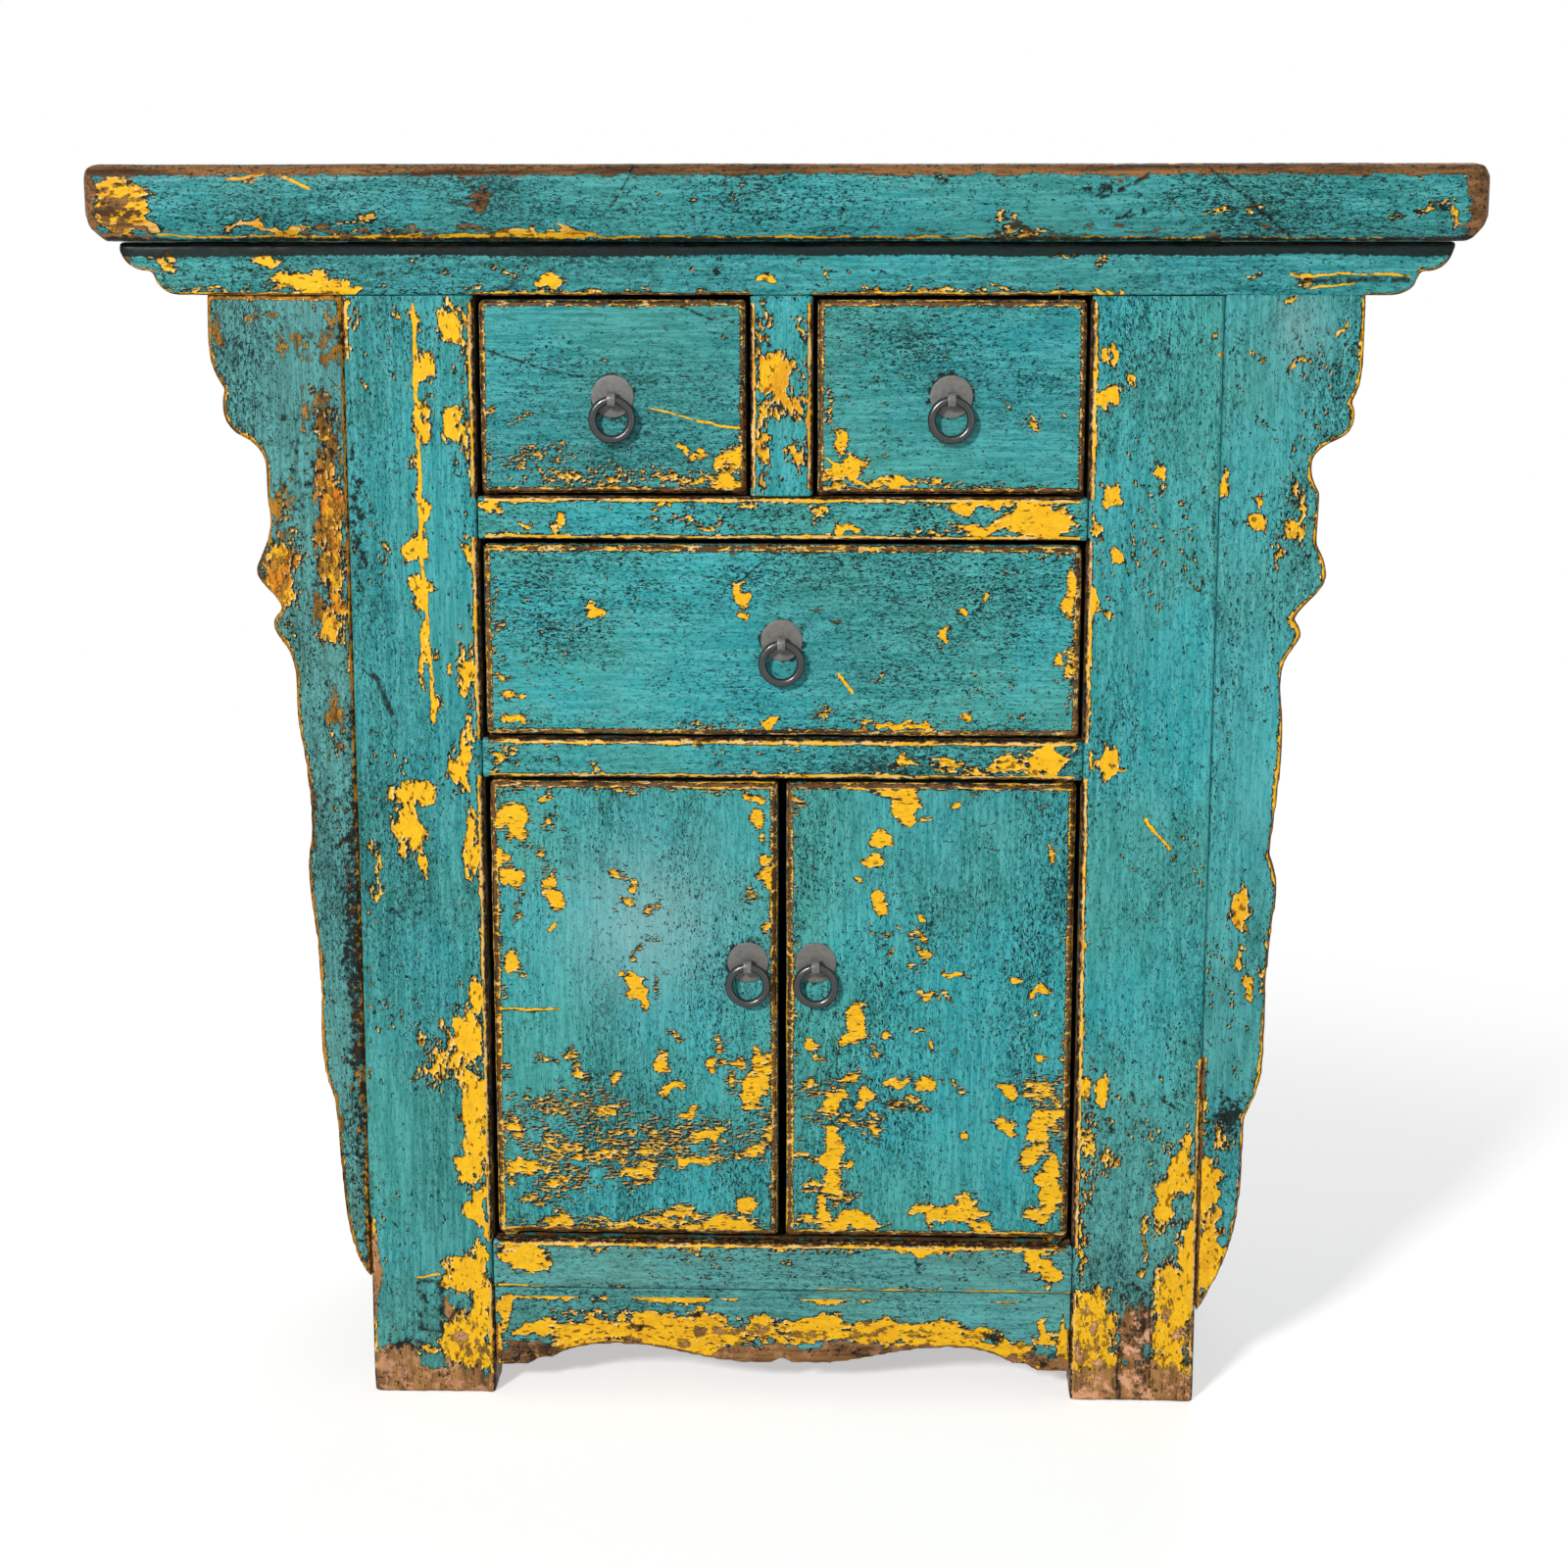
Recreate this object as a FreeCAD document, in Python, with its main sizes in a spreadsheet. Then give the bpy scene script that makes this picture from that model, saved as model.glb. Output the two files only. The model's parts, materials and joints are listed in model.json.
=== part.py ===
import FreeCAD
import Part
import math
import os
import re

# A painted plank credenza: two small drawers over a wide one over a pair of pivot doors,
# with fretted wings outside the front legs. Millimetres; +Z up, the front faces -Y,
# origin at the middle of the footprint of the top, on the floor.

SIZES = {
    # top
    "top_end_overhang": 21,
    "top_depth": 420,
    "top_thickness": 57,
    "top_arris_round": 12,
    "top_edge_flat": 8,
    "top_undercut": 14,
    "top_corner_round": 18,
    "front_plank_depth": 225,
    "tongue_depth": 10,
    "tongue_height": 14,
    "front_overhang": 25,
    "rear_overhang": 10,
    "cleat_width": 40,
    "cleat_thickness": 20,
    "cleat_spread": 300,
    # case
    "opening_width": 470,
    "leg_width": 100,
    "front_leg_depth": 45,
    "rear_leg_depth": 40,
    "leg_arris_round": 3,
    # levels, from the floor up
    "floor_to_sill": 91,
    "sill_height": 41,
    "door_opening_height": 382,
    "lower_rail_height": 32,
    "wide_bay_height": 155,
    "middle_rail_height": 34,
    "small_bay_height": 152,
    "frieze_height": 40,
    "divider_width": 48,
    "rail_arris_round": 3,
    # joinery
    "tenon_length": 25,
    "tenon_thickness": 14,
    "tenon_inset": 15,
    "tenon_shoulder": 6,
    "stub_length": 12,
    "stub_thickness": 10,
    "top_tenon_width": 50,
    "top_tenon_length": 20,
    "top_tenon_shoulder": 4,
    # frieze, wings, apron
    "frieze_overhang": 65,
    "frieze_thickness": 22,
    "frieze_lower_lobe": 18,
    "frieze_step": 9,
    "frieze_upper_lobe": 17,
    "wing_reach": 105,
    "wing_thickness": 20,
    "wing_tongue_thickness": 10,
    "wing_tongue_depth": 8,
    "left_wing_setback": 4,
    "right_wing_setback": 1,
    "left_wing_foot": 95,
    "right_wing_foot": 76,
    "apron_thickness": 20,
    "apron_setback": 3,
    # sides, back, floor
    "side_rail_thickness": 24,
    "side_rail_inset": 8,
    "side_tenon_length": 20,
    "side_tenon_thickness": 10,
    "side_tenon_shoulder": 10,
    "panel_thickness": 12,
    "panel_groove": 8,
    "back_board_thickness": 10,
    "board_gap": 0.8,
    "floor_board_thickness": 15,
    "floor_lip": 4,
    "bearer_width": 40,
    "bearer_spread": 340,
    # runners
    "runner_width": 30,
    "runner_thickness": 20,
    "guide_width": 20,
    "guide_height": 20,
    # drawers
    "drawer_front_thickness": 20,
    "drawer_setback": 4,
    "drawer_side_gap": 3,
    "drawer_top_gap": 3,
    "drawer_bottom_gap": 1.5,
    "drawer_arris_round": 5,
    "drawer_side_thickness": 12,
    "drawer_side_drop": 22,
    "drawer_rabbet": 10,
    "drawer_bottom_thickness": 8,
    "drawer_bottom_rise": 8,
    "drawer_bottom_groove": 5,
    "drawer_rear_gap": 10,
    # doors
    "door_thickness": 20,
    "door_setback": 8,
    "door_hinge_gap": 3.5,
    "door_meeting_gap": 6,
    "door_top_gap": 3,
    "door_bottom_gap": 3,
    "door_arris_round": 5,
    "pivot_inset": 10,
    "pivot_diameter": 12,
    "pivot_length": 10,
    "pivot_clearance": 0.08,
    "pivot_headroom": 4,
    "door_batten_height": 40,
    "door_batten_thickness": 15,
    "door_batten_margin": 45,
    "door_batten_end": 22,
    # pulls
    "plate_diameter": 32.5,
    "plate_thickness": 1.5,
    "plate_bevel": 0.4,
    "ring_diameter": 36.4,
    "ring_wire": 6.4,
    "eye_width": 6,
    "eye_wall": 1.9,
    "eye_clearance": 0.9,
    "eye_droop": 2,
    "ring_hang": 0.3,
    "shank_diameter": 5.2,
    "shank_clearance": 0.3,
    "clinch_length": 30,
    "clinch_width": 5,
    "clinch_thickness": 2,
    "door_pull_inset": 24,
    "door_pull_rise": 229.5,
}

# Levels, faces and centre lines that follow from the sizes.
PLACES = {
    "bay_x": "opening_width / 2",
    "leg_x": "bay_x + leg_width",
    "frieze_x": "leg_x + wing_reach + frieze_overhang",
    "top_x": "frieze_x + top_end_overhang",
    "front_y": "front_overhang - top_depth / 2",
    "leg_back_y": "front_y + front_leg_depth",
    "rear_y": "top_depth / 2 - rear_overhang",
    "rear_leg_y": "rear_y - rear_leg_depth",
    "sill_z": "floor_to_sill + sill_height",
    "lower_rail_z": "sill_z + door_opening_height",
    "wide_bay_z": "lower_rail_z + lower_rail_height",
    "middle_rail_z": "wide_bay_z + wide_bay_height",
    "small_bay_z": "middle_rail_z + middle_rail_height",
    "frieze_z": "small_bay_z + small_bay_height",
    "top_z": "frieze_z + frieze_height",
    "side_rail_out": "leg_x - side_rail_inset",
    "side_rail_in": "side_rail_out - side_rail_thickness",
    "side_mid": "side_rail_out - side_rail_thickness / 2",
    "floor_z": "sill_z - floor_lip",
    "left_wing_y": "front_y + left_wing_setback",
    "right_wing_y": "front_y + right_wing_setback",
    "wing_tongue_inset": "(wing_thickness - wing_tongue_thickness) / 2",
    "seam_y": "front_plank_depth - top_depth / 2",
    "drawer_y": "front_y + drawer_setback",
    "drawer_back_y": "drawer_y + drawer_front_thickness",
    "drawer_end_y": "rear_leg_y - drawer_rear_gap",
    "door_y": "front_y + door_setback",
    "door_back_y": "door_y + door_thickness",
    "door_hinge_x": "bay_x - door_hinge_gap",
    "door_meet_x": "door_meeting_gap / 2",
    "door_foot_z": "sill_z + door_bottom_gap",
    "door_head_z": "lower_rail_z - door_top_gap",
    "pivot_x": "door_hinge_x - pivot_inset",
    "pivot_y": "door_y + door_thickness / 2",
    "eye_hole": "ring_wire / 2 + eye_clearance",
    "eye_radius": "eye_hole + eye_wall",
    "ring_radius": "(ring_diameter - ring_wire) / 2",
}

# Free edge of each wing from the frieze down to its foot, as reach from the leg and drop below
# the frieze. A new run starts at each cusp; two points make a straight run, more a curve.
WING_EDGE = {
    "left": [
        [(102, 0), (102, 38)],
        [(102, 38), (99, 56), (91, 71)],
        [(91, 71), (93, 86), (88, 101), (75, 110), (65, 120), (62, 148), (61, 178), (67, 197),
         (72, 212), (64, 225), (53, 241)],
        [(53, 241), (60, 256), (52, 270), (46, 285), (45, 316), (40, 363), (37, 423)],
        [(37, 423), (40, 442), (37, 490), (34, 560), (33, 612), (26, 638)],
        [(26, 638), (23, 680), (18, 745), (10, 776), (0, 792)],
    ],
    "right": [
        [(102, 0), (102, 55)],
        [(102, 55), (100, 68), (95, 80)],
        [(95, 80), (98, 90), (92, 104), (78, 112), (68, 123), (68, 135), (74, 148)],
        [(74, 148), (73, 188)],
        [(73, 188), (79, 200), (80, 217), (69, 232), (58, 246)],
        [(58, 246), (63, 260), (54, 275), (50, 294), (52, 320), (50, 390), (46, 431)],
        [(46, 431), (50, 441), (50, 490), (47, 560), (45, 615), (34, 646)],
        [(34, 646), (33, 694), (28, 744), (18, 777), (0, 812)],
    ],
}

# Lower edge of the apron, as drop below the sill rail: the middle part is measured out from
# the centre line, the end part in from the leg.
APRON_MIDDLE = [(0, 59), (9, 63.5), (60, 60)]
APRON_END = [(140, 53), (95, 49), (76, 51), (63, 54), (47, 61), (36, 62), (28, 67), (0, 69)]

V = FreeCAD.Vector
doc = FreeCAD.newDocument("credenza")
sheet = doc.addObject("Spreadsheet::Sheet", "Sizes")
for row, (alias, size) in enumerate(SIZES.items(), 1):
    sheet.set(f"A{row}", str(size))
    sheet.setAlias(f"A{row}", alias)
doc.recompute()


def bound(text):
    # Each name in the expression is read from the sheet or from the places worked out from it.
    def named(match):
        word = match[0]
        if word in SIZES:
            return f"Sizes.{word}"
        if word in PLACES:
            return f"Places.{word}"
        return word

    return re.sub(r"[a-z][a-z_0-9]*", named, text)


at = doc.addObject("App::VarSet", "Places")
for place, text in PLACES.items():
    at.addProperty("App::PropertyFloat", place)
    at.setExpression(place, bound(text))
    doc.recompute()


def size(alias):
    return float(sheet.get(alias))


def block(name, x, y, z):
    box = doc.addObject("Part::Box", name)
    for side, axis, (low, high) in zip(("Length", "Width", "Height"), "xyz", (x, y, z)):
        box.setExpression(side, bound(f"({high}) - ({low})"))
        box.setExpression(f"Placement.Base.{axis}", bound(low))
    return box


def rod(name, radius, length, base, direction):
    bar = doc.addObject("Part::Cylinder", name)
    bar.setExpression("Radius", bound(radius))
    bar.setExpression("Height", bound(length))
    bar.Placement.Rotation = FreeCAD.Rotation(V(0, 0, 1), direction)
    for axis, place in zip("xyz", base):
        bar.setExpression(f"Placement.Base.{axis}", bound(place))
    return bar


def joined(name, pieces):
    if len(pieces) == 1:
        return pieces[0]
    whole = doc.addObject("Part::MultiFuse", name)
    whole.Shapes = pieces
    return whole


def cut(name, piece, tools):
    result = doc.addObject("Part::Cut", name)
    result.Base = piece
    result.Tool = joined(name + "_tools", tools)
    return result


def shared(name, pieces):
    result = doc.addObject("Part::MultiCommon", name)
    result.Shapes = pieces
    return result


def group(name, pieces):
    result = doc.addObject("Part::Compound", name)
    result.Links = pieces
    return result


def eased(name, piece, radius, chosen):
    # Rounds the straight edges of the piece that the test picks by their middle and direction.
    doc.recompute()
    picked = []
    for number, edge in enumerate(piece.Shape.Edges, 1):
        ends = [v.Point for v in edge.Vertexes]
        if len(ends) != 2:
            continue
        along = ends[1] - ends[0]
        middle = (ends[0] + ends[1]) * 0.5
        if chosen(middle, along):
            picked.append((number, radius, radius))
    result = doc.addObject("Part::Fillet", name)
    result.Base = piece
    result.Edges = picked
    return result


def near(a, b):
    return abs(a - b) < 1e-4


def mirrored(side, low, high):
    # An X span given for the right-hand side, turned over for the left.
    if side == "right":
        return low, high
    return f"-({high})", f"-({low})"


def mirrored_x(side, x):
    return x if side == "right" else f"-({x})"


def run(points):
    ends = [V(*p, 0) for p in points]
    if len(ends) == 2:
        return Part.LineSegment(ends[0], ends[1])
    curve = Part.BSplineCurve()
    curve.interpolate(ends)
    return curve


def arc(start, middle, end):
    return Part.Arc(V(*start, 0), V(*middle, 0), V(*end, 0))


def shaped_board(name, edges, thickness, front):
    # An outline drawn in X and Z, padded back from the plane Y = front.
    body = doc.addObject("PartDesign::Body", name)
    outline = body.newObject("Sketcher::SketchObject", name + "_outline")
    plane = [f for f in body.Origin.OriginFeatures if f.Role == "XZ_Plane"][0]
    outline.AttachmentSupport = [(plane, "")]
    outline.MapMode = "FlatFace"
    for edge in edges:
        outline.addGeometry(edge)
    pad = body.newObject("PartDesign::Pad", name + "_pad")
    pad.Profile = outline
    pad.Reversed = True
    pad.setExpression("Length", bound(thickness))
    body.setExpression("Placement.Base.y", bound(front))
    return body


nodes = []


def node(label, piece):
    piece.Label = label
    nodes.append(piece)
    return piece


# Legs

def front_tenon_y():
    return "front_y + tenon_inset", "front_y + tenon_inset + tenon_thickness"


def rail_tenon_z(foot, height):
    return f"{foot} + tenon_shoulder", f"{foot} + {height} - tenon_shoulder"


FRONT_RAILS = {
    "sill_rail": ("floor_to_sill", "sill_height"),
    "rail_lower": ("lower_rail_z", "lower_rail_height"),
    "rail_middle": ("middle_rail_z", "middle_rail_height"),
}
REAR_RAILS = dict(FRONT_RAILS, rail_top=("frieze_z", "frieze_height"))
SIDE_RAILS = {
    "lower": ("floor_to_sill", "sill_height"),
    "upper": ("frieze_z", "frieze_height"),
}


def side_tenon(name, side, foot, height, y):
    x = mirrored(
        side,
        "side_mid - side_tenon_thickness / 2",
        "side_mid + side_tenon_thickness / 2",
    )
    z = (f"{foot} + side_tenon_shoulder", f"{foot} + {height} - side_tenon_shoulder")
    return block(name, x, y, z)


def panel_slot(name, side, y, z):
    x = mirrored(side, "side_mid - panel_thickness / 2", "side_mid + panel_thickness / 2")
    return block(name, x, y, z)


PANEL_Z = ("sill_z - panel_groove", "frieze_z + panel_groove")


def top_tenon(name, side, y):
    x = mirrored(
        side,
        "bay_x + (leg_width - top_tenon_width) / 2",
        "bay_x + (leg_width + top_tenon_width) / 2",
    )
    return block(name, x, y, ("top_z", "top_z + top_tenon_length"))


FRONT_TOP_TENON_Y = (
    "front_y + frieze_thickness + top_tenon_shoulder",
    "leg_back_y - top_tenon_shoulder",
)
REAR_TOP_TENON_Y = ("rear_leg_y + 2 * top_tenon_shoulder", "rear_y - 2 * top_tenon_shoulder")


def wing_tongue(name, side):
    foot = f"{side}_wing_foot"
    x = mirrored(side, "leg_x - wing_tongue_depth", "leg_x")
    front = f"{side}_wing_y + wing_tongue_inset"
    y = (front, front + " + wing_tongue_thickness")
    return block(name, x, y, (f"{foot} + (frieze_z - {foot}) / 10", "frieze_z"))


def front_leg(side):
    name = f"leg_front_{side}"
    x = mirrored(side, "bay_x", "leg_x")
    post = block(name + "_post", x, ("front_y", "leg_back_y"), ("0", "top_z"))
    post = eased(
        name + "_eased",
        post,
        size("leg_arris_round"),
        lambda mid, along: near(mid.y, at.front_y) and abs(along.z) > 1,
    )
    blank = joined(name + "_blank", [post, top_tenon(name + "_top_tenon", side, FRONT_TOP_TENON_Y)])
    tools = [
        block(
            name + "_frieze_lap",
            x,
            ("front_y", "front_y + frieze_thickness"),
            ("frieze_z", "top_z"),
        ),
        wing_tongue(name + "_wing_groove", side),
        panel_slot(name + "_panel_groove", side, ("leg_back_y - panel_groove", "leg_back_y"), PANEL_Z),
    ]
    for rail, (foot, height) in FRONT_RAILS.items():
        tools.append(
            block(
                f"{name}_{rail}_mortise",
                mirrored(side, "bay_x", "bay_x + tenon_length"),
                front_tenon_y(),
                rail_tenon_z(foot, height),
            )
        )
    for rail, (foot, height) in SIDE_RAILS.items():
        y = ("leg_back_y - side_tenon_length", "leg_back_y")
        tools.append(side_tenon(f"{name}_{rail}_side_mortise", side, foot, height, y))
    node(name, cut(name + "_cut", blank, tools))


def rear_leg(side):
    name = f"leg_rear_{side}"
    x = mirrored(side, "bay_x", "leg_x")
    post = block(name + "_post", x, ("rear_leg_y", "rear_y"), ("0", "top_z"))
    blank = joined(name + "_blank", [post, top_tenon(name + "_top_tenon", side, REAR_TOP_TENON_Y)])
    tools = [
        panel_slot(name + "_panel_groove", side, ("rear_leg_y", "rear_leg_y + panel_groove"), PANEL_Z)
    ]
    for rail, (foot, height) in REAR_RAILS.items():
        tools.append(
            block(
                f"{name}_{rail}_mortise",
                mirrored(side, "bay_x", "bay_x + tenon_length"),
                REAR_TENON_Y,
                rail_tenon_z(foot, height),
            )
        )
    for rail, (foot, height) in SIDE_RAILS.items():
        y = ("rear_leg_y", "rear_leg_y + side_tenon_length")
        tools.append(side_tenon(f"{name}_{rail}_side_mortise", side, foot, height, y))
    node(name, cut(name + "_cut", blank, tools))


REAR_TENON_Y = (
    "(rear_leg_y + rear_y - back_board_thickness - tenon_thickness) / 2",
    "(rear_leg_y + rear_y - back_board_thickness + tenon_thickness) / 2",
)

for side in ("left", "right"):
    front_leg(side)
    rear_leg(side)


# Front rails, divider, rear rails

def pivot_hole(name, side, low, high):
    base = (mirrored_x(side, "pivot_x"), "pivot_y", low)
    radius = "pivot_diameter / 2 + pivot_clearance"
    return rod(name, radius, f"({high}) - ({low})", base, V(0, 0, 1))


def divider_stub(name, y, z):
    return block(name, ("-divider_width / 4", "divider_width / 4"), y, z)


DIVIDER_STUB_Y = ("front_y + stub_length / 2", "front_y + stub_length / 2 + stub_thickness")


def front_rail(name, tools):
    foot, height = FRONT_RAILS[name]
    z = (foot, f"{foot} + {height}")
    bar = block(name + "_bar", ("-bay_x", "bay_x"), ("front_y", "leg_back_y"), z)
    bar = eased(
        name + "_eased",
        bar,
        size("rail_arris_round"),
        lambda mid, along: near(mid.y, at.front_y) and abs(along.x) > 1,
    )
    tenon_z = rail_tenon_z(foot, height)
    x = ("-bay_x - tenon_length", "bay_x + tenon_length")
    core = block(name + "_tenons", x, front_tenon_y(), tenon_z)
    rail = joined(name + "_blank", [bar, core])
    if tools:
        rail = cut(name + "_cut", rail, tools)
    node(name, rail)


front_rail(
    "rail_middle",
    [divider_stub("divider_mortise", DIVIDER_STUB_Y, ("small_bay_z - stub_length", "small_bay_z"))],
)
front_rail(
    "rail_lower",
    [
        pivot_hole(f"door_{side}_head_hole", side, "lower_rail_z",
                   "lower_rail_z + pivot_length + pivot_headroom")
        for side in ("left", "right")
    ],
)
front_rail(
    "sill_rail",
    [
        pivot_hole(f"door_{side}_foot_hole", side, "sill_z - pivot_length", "sill_z")
        for side in ("left", "right")
    ],
)

divider = block(
    "divider_post",
    ("-divider_width / 2", "divider_width / 2"),
    ("front_y", "leg_back_y"),
    ("small_bay_z", "frieze_z"),
)
divider = eased(
    "divider_eased",
    divider,
    size("rail_arris_round"),
    lambda mid, along: near(mid.y, at.front_y) and abs(along.z) > 1,
)
divider_stubs = divider_stub(
    "divider_stubs", DIVIDER_STUB_Y, ("small_bay_z - stub_length", "frieze_z + stub_length")
)
node("drawer_divider", joined("divider_blank", [divider, divider_stubs]))

rear_bars = []
for rail, (foot, height) in REAR_RAILS.items():
    bar = block(
        f"rear_{rail}_bar",
        ("-bay_x", "bay_x"),
        ("rear_leg_y", "rear_y - back_board_thickness"),
        (foot, f"{foot} + {height}"),
    )
    core = block(
        f"rear_{rail}_tenons",
        ("-bay_x - tenon_length", "bay_x + tenon_length"),
        REAR_TENON_Y,
        rail_tenon_z(foot, height),
    )
    rear_bars.append(joined(f"rear_{rail}", [bar, core]))
node("rear_rails", group("rear_rail_set", rear_bars))


# Frieze, wings, apron

def frieze_end(reach, foot, head):
    # From the frieze's foot out to its head: a quarter round, a step, a wider quarter round.
    lower = size("frieze_lower_lobe")
    upper = size("frieze_upper_lobe")
    bend = math.sqrt(0.5)
    ledge = foot + lower
    step_out = reach - upper
    step_in = step_out - size("frieze_step")
    start = step_in - lower
    first = [(start, foot), (start + lower * bend, foot + lower * (1 - bend)), (step_in, ledge)]
    rise = head - ledge
    last = [
        (step_out, ledge),
        (step_out + upper * bend, ledge + rise * (1 - bend)),
        (reach, head),
    ]
    return first, last


def frieze_edges():
    reach = at.frieze_x
    first, last = frieze_end(reach, at.frieze_z, at.top_z)
    edges = [run([(-reach, at.top_z), (reach, at.top_z)])]
    for sign in (1, -1):
        low = [(sign * x, z) for x, z in first]
        high = [(sign * x, z) for x, z in last]
        edges += [arc(*low), run([low[2], high[0]]), arc(*high)]
    start = first[0]
    edges.append(run([(-start[0], start[1]), start]))
    return edges


frieze = shaped_board("frieze_shape", frieze_edges(), "frieze_thickness", "front_y")
frieze_mortise = divider_stub(
    "frieze_mortise", DIVIDER_STUB_Y, ("frieze_z", "frieze_z + stub_length")
)
node("frieze_board", cut("frieze_cut", frieze, [frieze_mortise]))


def wing(side):
    sign = 1 if side == "right" else -1
    runs = WING_EDGE[side]
    drop = runs[-1][-1][1]
    stretch = (at.frieze_z - size(f"{side}_wing_foot")) / drop
    widen = size("wing_reach") / runs[0][0][0]
    edges = []
    for points in runs:
        edges.append(
            run([(sign * (at.leg_x + r * widen), at.frieze_z - d * stretch) for r, d in points])
        )
    foot = (sign * at.leg_x, at.frieze_z - drop * stretch)
    head = (sign * at.leg_x, at.frieze_z)
    tip = (sign * (at.leg_x + size("wing_reach")), at.frieze_z)
    edges += [run([foot, head]), run([head, tip])]
    name = f"wing_{side}"
    board = shaped_board(name + "_shape", edges, "wing_thickness", f"{side}_wing_y")
    node(name, joined(name + "_tongued", [board, wing_tongue(name + "_tongue", side)]))


wing("left")
wing("right")


def apron_edges():
    head = size("floor_to_sill")
    ends = [(at.bay_x - inward, drop) for inward, drop in APRON_END]
    half = [(x, head - drop) for x, drop in APRON_MIDDLE + ends]
    notch, lobe, sweep = half[:2], half[1:6], half[5:]
    edges = []
    for sign in (1, -1):
        edges.append(run([(sign * x, z) for x, z in notch]))
        edges.append(run([(sign * x, z) for x, z in lobe]))
        for a, b in zip(sweep, sweep[1:]):
            edges.append(run([(sign * a[0], a[1]), (sign * b[0], b[1])]))
        edges.append(run([(sign * at.bay_x, half[-1][1]), (sign * at.bay_x, head)]))
    edges.append(run([(-at.bay_x, head), (at.bay_x, head)]))
    return edges


apron = shaped_board("apron_shape", apron_edges(), "apron_thickness", "front_y + apron_setback")
node("apron", apron)


# Sides, back, floor, runners

def side_frame(side):
    rails = []
    for level, (foot, height) in SIDE_RAILS.items():
        name = f"side_{side}_{level}"
        bar = block(
            name + "_bar",
            mirrored(side, "side_rail_in", "side_rail_out"),
            ("leg_back_y", "rear_leg_y"),
            (foot, f"{foot} + {height}"),
        )
        y = ("leg_back_y - side_tenon_length", "rear_leg_y + side_tenon_length")
        core = side_tenon(name + "_tenons", side, foot, height, y)
        slot_z = {
            "lower": ("sill_z - panel_groove", "sill_z"),
            "upper": ("frieze_z", "frieze_z + panel_groove"),
        }[level]
        slot = panel_slot(name + "_groove", side, ("leg_back_y", "rear_leg_y"), slot_z)
        rails.append(cut(name, joined(name + "_blank", [bar, core]), [slot]))
    node(f"side_rails_{side}", group(f"side_{side}_rails", rails))
    panel_y = ("leg_back_y - panel_groove", "rear_leg_y + panel_groove")
    node(f"side_panel_{side}", panel_slot(f"side_{side}_panel", side, panel_y, PANEL_Z))


side_frame("left")
side_frame("right")


def boards(name, count, low, high, make):
    # The span from low to high in equal boards with a gap between neighbours.
    pitch = f"(({high}) - ({low}) + board_gap) / {count}"
    made = []
    for i in range(count):
        start = f"({low}) + {i} * ({pitch})"
        made.append(make(f"{name}_{i}", (start, f"{start} + {pitch} - board_gap")))
    return made


node(
    "back_boards",
    group(
        "back_board_set",
        boards(
            "back_board",
            3,
            "-bay_x",
            "bay_x",
            lambda name, x: block(
                name, x, ("rear_y - back_board_thickness", "rear_y"), ("floor_to_sill", "top_z")
            ),
        ),
    ),
)
node(
    "floor_boards",
    group(
        "floor_board_set",
        boards(
            "floor_board",
            3,
            "leg_back_y",
            "rear_leg_y",
            lambda name, y: block(
                name,
                ("-side_rail_in", "side_rail_in"),
                y,
                ("floor_z - floor_board_thickness", "floor_z"),
            ),
        ),
    ),
)
bearers = []
for i, middle in enumerate(("-bearer_spread / 2", "0", "bearer_spread / 2")):
    bearers.append(
        block(
            f"bearer_{i}",
            (f"{middle} - bearer_width / 2", f"{middle} + bearer_width / 2"),
            ("leg_back_y", "rear_leg_y"),
            ("floor_to_sill", "floor_z - floor_board_thickness"),
        )
    )
node("floor_bearers", group("bearer_set", bearers))

RUN_Y = ("leg_back_y", "rear_leg_y")


def side_runner(name, side, level):
    foot = (f"{level} - runner_thickness", level)
    base = block(name + "_base", mirrored(side, "bay_x - runner_width", "bay_x + guide_width"), RUN_Y, foot)
    guide_z = (level, f"{level} + guide_height")
    guide = block(name + "_guide", mirrored(side, "bay_x", "bay_x + guide_width"), RUN_Y, guide_z)
    return joined(name, [base, guide])


def middle_runner(name, level):
    half = "divider_width / 2"
    foot = (f"{level} - runner_thickness", level)
    base = block(name + "_base", (f"-{half} - runner_width", f"{half} + runner_width"), RUN_Y, foot)
    guide_z = (level, f"{level} + guide_height")
    guide = block(name + "_guide", (f"-{half}", half), RUN_Y, guide_z)
    return joined(name, [base, guide])


node(
    "upper_runners",
    group(
        "upper_runner_set",
        [
            side_runner("upper_runner_left", "left", "small_bay_z"),
            middle_runner("upper_runner_middle", "small_bay_z"),
            side_runner("upper_runner_right", "right", "small_bay_z"),
        ],
    ),
)
node(
    "lower_runners",
    group(
        "lower_runner_set",
        [
            side_runner("lower_runner_left", "left", "wide_bay_z"),
            side_runner("lower_runner_right", "right", "wide_bay_z"),
        ],
    ),
)


# Top

def edge_profile(out, foot, head):
    # Moulded edge from the flat top round to the underside, for an edge at distance out.
    r = size("top_arris_round")
    flat = size("top_edge_flat")
    under = size("top_undercut")
    bend = math.sqrt(0.5)
    belly = head - r - flat
    return [
        [(out - r, head), (out - r + r * bend, head - r + r * bend), (out, head - r)],
        [(out, head - r), (out, belly)],
        [
            (out, belly),
            (out - under * (1 - bend), belly - (belly - foot) * bend),
            (out - under, foot),
        ],
    ]


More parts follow.
